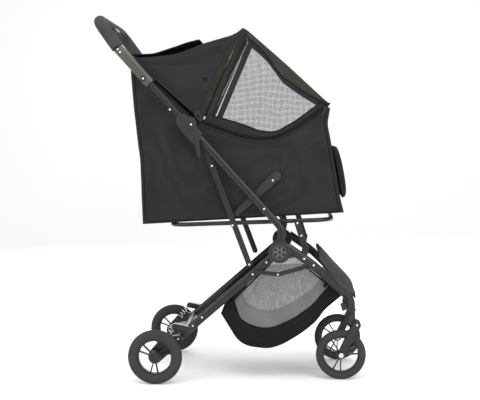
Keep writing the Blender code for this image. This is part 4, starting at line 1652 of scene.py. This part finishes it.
    def rods(self) -> None:
        """Builds the bow and hoop rods inside the cloth, the clip tabs and the plain cloth tag."""
        feet, top, width = (-0.0805, 0.7435), (0.0335, 0.9740), 0.1495
        bow = [place(feet, -width), place(top, -width), place(top, width), place(feet, width)]
        show(Workshop.tube(Workshop.bend(bow, 0.035, 12), 0.003, sides=4), "bow_rod", self.palette.steel,
             "bow", "wires", "bow")
        line = [(-0.0768, 0.7315), *ZIP_LINE[:5], (0.2550, 0.7640)]
        path = [place(p, -0.1570) for p in line] + [place(p, 0.1570) for p in reversed(line)]
        show(Workshop.tube(Workshop.bend(path, 0.022, 8), 0.003, sides=4), "hoop_rod", self.palette.steel,
             "hoop", "wires", "hoop")
        for side in Side:
            tab = Workshop.plate([Workshop.bar((-0.091, 0.744), (-0.083, 0.728), 0.019, 0.015),
                                  Workshop.arc((-0.0875, 0.7355), 0.0028, 0, 340, 12)],
                                 *side.span(0.1660, 0.1690), edge=0.0009)
            show(tab, side.node("clip_tab"), self.palette.plastic, "seat", "housings")
        tag = Workshop.block(Vector((-0.0700, -0.1658, 0.8420)), Vector((0.0085, 0.0008, 0.0175)), 0.10,
                             0.0002)
        stripe = Workshop.block(Vector((-0.0700, -0.1663, 0.8470)), Vector((0.0062, 0.0004, 0.0012)), 0.10,
                                0.0001)
        label = Workshop.merged(Sewing.painted(tag, 0), Sewing.painted(stripe, 1))
        piece = Workshop.finish(label, "cloth_tag", [self.palette.band, self.palette.emblem])
        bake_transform(piece)
        stand(piece, "cabin_cloth")

    def flap(self) -> None:
        """Builds the rear flap: a thin sheet that stands off the roof towards its loose tip."""
        upper = Curve([(-0.272, 0.9100), (-0.212, 0.9150), (-0.165, 0.9300), (-0.120, 0.9420),
                       (-0.086, 0.9460)])
        rows = []
        for k in range(25):
            x, z = upper.smooth(k / 24, 0.06)
            row = []
            for j in range(31):
                y = self.flap_half * (j / 15 - 1)
                curl = 0.0055 * math.sin(math.pi * k / 24) * (abs(y) / self.flap_half) ** 3
                spot = Vector((x, y, z - curl - 0.0035 * (1 - k / 24)))
                row.append(spot + Vector((0, 0, Sewing.crumple(spot, 0.0016))))
            rows.append(row)
        shape = Workshop.sheet(rows, 0.0020)
        for face in shape.polygons:
            face.material_index = 1 if face.normal.z < -0.1 else 0
        shape.materials.append(None)
        shape.materials.append(None)
        edge = [row[0] for row in rows] + rows[-1][1:] + [row[-1] for row in reversed(rows[:-1])]
        seam = Sewing.piping(edge, 0.0017, slot=1)
        piece = Workshop.finish(Workshop.merged(shape, seam), "rear_flap_cloth",
                                [self.palette.canvas, self.palette.band], 60.0)
        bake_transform(piece)
        stand(piece, "cabin_cloth", "rear_flap")

    def zip_teeth(self) -> None:
        """Builds the zip's teeth between the cabin and the front fan."""
        line = Curve([(-0.060, 0.7180), *ZIP_LINE])
        spots = []
        for y in (-0.1640, 0.1640):
            path = [place(line.smooth(k / 80, 0.03), y) for k in range(81)]
            for spot, way in Sewing.stitches(path, Vector((0, 0, 0)), 0.0030):
                spots.append((spot, Vector((-way.z, 0, way.x))))
        teeth = Fittings.repeated("zip_teeth", spots, Fitting.PEG, {"Radius": 0.0007, "Length": 0.0042},
                                  self.palette.plastic)
        attach(teeth, "seat", "cabin_cloth")
        pull = Workshop.plate([Workshop.bar((0.2610, 0.7600), (0.2560, 0.7400), 0.0060, 0.0040)],
                              -0.1660, -0.1648)
        show(pull, "zip_pull", self.palette.plastic, "seat", "cabin_cloth")

    def build(self) -> None:
        """Builds the whole canopy."""
        self.rear()
        self.front()
        self.rods()
        self.flap()
        self.zip_teeth()


@dataclass
class Basket:
    """The sagging shopping basket and the foot panel in front of it."""

    palette: Palette
    half: float = 0.1495
    steps: int = 60
    band_steps: int = 8
    net_steps: int = 12
    floor_steps: int = 18
    lap: float = 0.84

    def shell(self) -> None:
        """Builds the basket: two net sides in a dark band, and a creased floor between them."""
        outer = Curve([(-0.026, 0.184), (-0.001, 0.144), (0.020, 0.110), (0.047, 0.094), (0.105, 0.087),
                       (0.143, 0.099), (0.196, 0.131), (0.239, 0.166), (0.260, 0.198), (0.306, 0.237)])
        inner = Curve([(0.009, 0.2256), (0.0255, 0.171), (0.0576, 0.152), (0.0975, 0.144), (0.127, 0.150),
                       (0.1775, 0.174), (0.228, 0.211), (0.274, 0.266)])
        rim = Curve([(0.108, 0.3215), (0.125, 0.3222), (0.150, 0.3230), (0.180, 0.3240), (0.202, 0.3245)])
        rows, paint = [], []
        for k in range(self.steps + 1):
            t = k / self.steps
            a, b, c = outer.smooth(t), inner.smooth(t), rim.at(t)
            row = [(a[0] + (b[0] - a[0]) * j / self.band_steps, a[1] + (b[1] - a[1]) * j / self.band_steps)
                   for j in range(self.band_steps)]
            row += [(b[0] + (c[0] - b[0]) * j / self.net_steps, b[1] + (c[1] - b[1]) * j / self.net_steps)
                    for j in range(self.net_steps + 1)]
            rows.append(self.basket_row(row, t))
            count = len(rows[-1])
            paint.append([1 if min(j, count - 2 - j) < self.net_steps else 0 for j in range(count)])
        mesh = Workshop.sheet(rows, 0.0015, paint=paint)
        net, hem = self.net_steps, self.net_steps + self.band_steps
        seams = [Sewing.piping([outwards(row[column], 0.0008) for row in rows], 0.0012)
                 for column in (net, -net - 1)]
        seams += [Sewing.piping([row[column] for row in rows], 0.0018) for column in (hem, -hem - 1)]
        seams += [Sewing.piping(row, 0.0022) for row in (rows[0], rows[-1])]
        seams += [Sewing.piping([row[column] for row in rows], 0.0014, slot=1) for column in (0, -1)]
        piece = Workshop.finish(Workshop.merged(mesh, *seams), "basket_cloth",
                                [self.palette.band, self.palette.basket_net], 60.0)
        attach(piece, "frame", "mesh_cloth", "basket")
        straps = []
        for y in (-0.1500, 0.1500):
            for foot, head in (((0.010, 0.226), (0.068, 0.3020)), ((0.262, 0.262), (0.268, 0.2830))):
                straps.append(Workshop.tube([place(foot, y), place(head, y)], 0.0045, 0.22, 3))
        show(Workshop.merged(*straps), "basket_straps", self.palette.band, "frame", "mesh_cloth")

    def basket_row(self, side: list[Point], t: float) -> list[Vector]:
        """One row of the basket, down one side, across the floor and up the other.

        Args:
            side: The row's points on the side, from the floor up.
            t: Its share of the basket's length.

        Returns:
            The row.
        """
        line = []
        for j, (x, z) in enumerate(reversed(side)):
            depth = j / (len(side) - 1)
            gather = 0.0
            if depth < 0.72:
                ripple = math.sin(t * 62.0 + 3.0 * noise.noise(Vector((x * 9, z * 9, 0))))
                gather = 0.0022 * ripple * math.sin(math.pi * min(1.0, depth * 1.4))
            pull = -0.012 * (1 - depth) ** 2
            edge = 0.008 * max(0.0, (depth - 0.88) / 0.12) ** 2
            line.append(Vector((x, -(self.half + pull - edge - 0.0018 + gather), z)))
        low = line[-1].copy()
        for j in range(1, self.floor_steps + 1):
            y = low.y * (1 - j / self.floor_steps)
            crease = 0.0016 * noise.noise(Vector((low.x * 14, y * 9, 1.0)))
            rise = 0.0035 * (1 - (y / self.half) ** 2)
            line.append(Vector((low.x, y, low.z + crease + rise)))
        return line + [Vector((p.x, -p.y, p.z)) for p in reversed(line[:-1])]

    def panel(self) -> None:
        """Builds the bulging cloth panel over the front legs, with its binding."""
        crown = Curve([(0.2500, 0.3600), (0.2560, 0.3570), (0.2915, 0.3160), (0.3250, 0.2830),
                       (0.3450, 0.2600),
                       (0.3500, 0.2370)])
        hem = Curve([(0.2450, 0.3560), (0.2480, 0.3480), (0.2820, 0.3050), (0.3180, 0.2700), (0.3400, 0.2475),
                     (0.3490, 0.2330)])
        skirt = Curve([(0.2460, 0.3440), (0.2510, 0.3330), (0.2820, 0.2960), (0.3150, 0.2620),
                       (0.3400, 0.2430),
                       (0.3490, 0.2310)])
        rows = []
        for k in range(31):
            t = k / 30
            top, low, foot = crown.smooth(t), hem.smooth(t), skirt.smooth(t)
            reach = 0.1500 - 0.0260 * t
            row = []
            for j in range(53):
                across = -1.0 + 2.0 * j / 52
                side = abs(across)
                drop = (side / self.lap) ** 4 if side < self.lap else 1.0
                x, z = top[0] + (low[0] - top[0]) * drop, top[1] + (low[1] - top[1]) * drop
                if side >= self.lap:
                    more = (side - self.lap) / (1 - self.lap)
                    x, z = low[0] + (foot[0] - low[0]) * more, low[1] + (foot[1] - low[1]) * more
                spot = Vector((x, reach * across, z))
                row.append(spot + Vector((0.6, 0, 0.75)) * (Sewing.crumple(spot, 0.0022, 15.0) - 0.0012))
            rows.append(row)
        mesh = Workshop.sheet(rows, 0.0024)
        edge = (rows[0] + [row[-1] for row in rows[1:]] + list(reversed(rows[-1]))[1:]
                + [row[0] for row in reversed(rows[1:-1])])
        seam = Sewing.piping(edge, 0.0018, slot=1)
        piece = Workshop.finish(Workshop.merged(mesh, seam), "foot_panel_cloth",
                                [self.palette.panel, self.palette.band], 60.0)
        attach(piece, "frame", "panel_cloth", "foot_panel")

    def build(self) -> None:
        """Builds the basket and the panel."""
        self.shell()
        self.panel()


@dataclass
class Rivets:
    """The bright rivet heads, one mesh for each body."""

    palette: Palette
    radius: float = 0.0031
    axle_radius: float = 0.0066
    axle_face: float = 0.0192

    def heads(self, side: Side) -> dict[str, list[tuple[Point, float]]]:
        """The heads of one side.

        Args:
            side: The side of the stroller.

        Returns:
            Each body's heads, as (X, Z) and the Y of the face that they sit on.
        """
        end = "_" + side.name.lower()
        return {"frame": [((0.095, 0.483), 0.1990), ((0.205, 0.3465), 0.1975), ((0.231, 0.329), 0.1972)],
                "brackets": [((-0.104, 0.713), 0.2028)],
                "handle": [((-0.163, 0.754), 0.1949), ((-0.304, 0.918), 0.2026), ((-0.298, 0.910), 0.2026),
                           ((-0.235, 0.838), 0.2030)],
                "rear_legs": [((0.101, 0.3335), 0.1752), ((0.063, 0.300), 0.1752), ((-0.078, 0.178), 0.1752),
                              ((-0.104, 0.154), 0.1752)],
                "struts": [((-0.049, 0.600), 0.1820), (SEAT_PIVOT, 0.1820), (STRUT_FOOT, 0.1820)],
                "knee_fronts": [(KNEE, 0.1820), ((0.218, 0.325), 0.1820)],
                "front_links": [(SEAT_FRONT_PIVOT, 0.1820), ((0.197, 0.4085), 0.1820)],
                "seat": [((0.118, 0.560), 0.1722)],
                "fork" + end: [(FORK_PIVOT, CASTER_Y + 0.0190)],
                "swing_arm" + end: [((-0.143, 0.121), 0.1985)]}

    def build(self) -> None:
        """Builds every body's heads."""
        gathered: dict[str, list[tuple[Vector, Vector]]] = {}
        for side in Side:
            for body, heads in self.heads(side).items():
                spots = gathered.setdefault(body, [])
                spots += [(place(at, side.value * y), Vector((0, side.value, 0))) for at, y in heads]
        for body, spots in gathered.items():
            piece = Fittings.repeated(body + "_rivets", spots, Fitting.DOME, {"Radius": self.radius},
                                      self.palette.steel)
            attach(piece, body, "springs")
        for side in Side:
            radius, thick = self.axle_radius, 0.0010
            profile = [(0.0, thick), (radius * 0.8, thick), (radius, thick * 0.3), (radius, -thick),
                       (0.0, -thick)]
            caps = [Workshop.turned(FRONT_WHEEL, side.value * CASTER_Y + face, profile, 32)
                    for face in (-self.axle_face, self.axle_face)]
            show(Workshop.merged(*caps), side.node("axle_caps"), self.palette.steel, side.node("fork"),
                 "springs")


@dataclass
class Studio:
    """A pale floor, soft lights and the camera."""

    camera_at: tuple[float, float, float] = (0.1915, -2.9050, 0.6645)
    aim: tuple[float, float, float] = (-0.0599, 1.0, -0.0581)
    lens: float = 74.57
    lights: tuple[tuple[str, tuple[float, float, float], float, float], ...] = (
        ("overhead_light", (0.2, -0.5, 3.0), 3.0, 62.0),
        ("front_light", (1.6, -2.4, 1.6), 2.2, 38.0),
        ("side_light", (-2.0, -1.8, 1.5), 2.0, 26.0),
        ("back_light", (-0.3, 2.4, 1.8), 2.4, 30.0))

    def floor(self) -> None:
        """Builds one pale sheet that runs up into a backdrop."""
        shape = bmesh.new()
        near, back, radius, top, half = -6.0, 3.0, 1.5, 6.0, 9.0
        turn = [math.radians(10 * k) for k in range(1, 10)]
        profile = [(near, 0.0), (back, 0.0)]
        profile += [(back + radius * math.sin(a), radius - radius * math.cos(a)) for a in turn]
        profile.append((back + radius, top))
        rows = [[shape.verts.new((x, y, z)) for y, z in profile] for x in (-half, half)]
        for a, b, c, d in zip(rows[0], rows[0][1:], rows[1][1:], rows[1]):
            shape.faces.new((a, d, c, b))
        material = bpy.data.materials.new("pale_floor")
        material.use_nodes = True
        tree = Tree(material.node_tree)
        shader = material.node_tree.nodes["Principled BSDF"]
        shader.inputs["Roughness"].default_value = 0.75
        coords = tree.add("ShaderNodeTexCoord").outputs["Object"]
        cloudy = tree.add("ShaderNodeTexNoise", {"Vector": coords, "Scale": 0.6}).outputs["Fac"]
        tone = tree.add("ShaderNodeMapRange", {"Value": cloudy, "To Min": 0.86, "To Max": 0.92})
        tree.fill(shader, "Base Color", tone.outputs["Result"])
        Workshop.finish(Workshop.taken(shape, "floor"), "floor", [material])

    def lamps(self) -> None:
        """Adds the soft lights and the pale surround."""
        for name, spot, size, power in self.lights:
            light = bpy.data.lights.new(name, "AREA")
            light.size = size
            light.energy = power
            lamp = bpy.data.objects.new(name, light)
            lamp.location = spot
            lamp.rotation_euler = (Vector((0.0, 0.0, 0.5)) - Vector(spot)).to_track_quat("-Z", "Y").to_euler()
            bpy.context.scene.collection.objects.link(lamp)
        world = bpy.data.worlds.new("surround")
        world.use_nodes = True
        world.node_tree.nodes["Background"].inputs["Color"].default_value = (1.0, 1.0, 1.0, 1.0)
        world.node_tree.nodes["Background"].inputs["Strength"].default_value = 0.85
        bpy.context.scene.world = world
        bpy.context.scene.view_settings.view_transform = "Standard"

    def camera(self) -> None:
        """Adds the camera."""
        lens = bpy.data.cameras.new("camera")
        lens.lens = self.lens
        lens.sensor_width = 36.0
        camera = bpy.data.objects.new("camera", lens)
        camera.location = self.camera_at
        camera.rotation_euler = Vector(self.aim).to_track_quat("-Z", "Y").to_euler()
        bpy.context.scene.collection.objects.link(camera)
        bpy.context.scene.camera = camera

    def build(self) -> None:
        """Sets up the whole studio."""
        self.floor()
        self.lamps()
        self.camera()


def main() -> None:
    """Builds the studio and the stroller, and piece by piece."""
    logging.basicConfig(level=logging.INFO, format="%(message)s")
    palette = Palette()
    for assembly in (Studio(), Handle(palette), Chassis(palette), RunningGear(palette), Cabin(palette),
                     Canopy(palette), Basket(palette), Rivets(palette)):
        log.info("building %s", type(assembly).__name__)
        assembly.build()


if __name__ == "__main__":
    main()
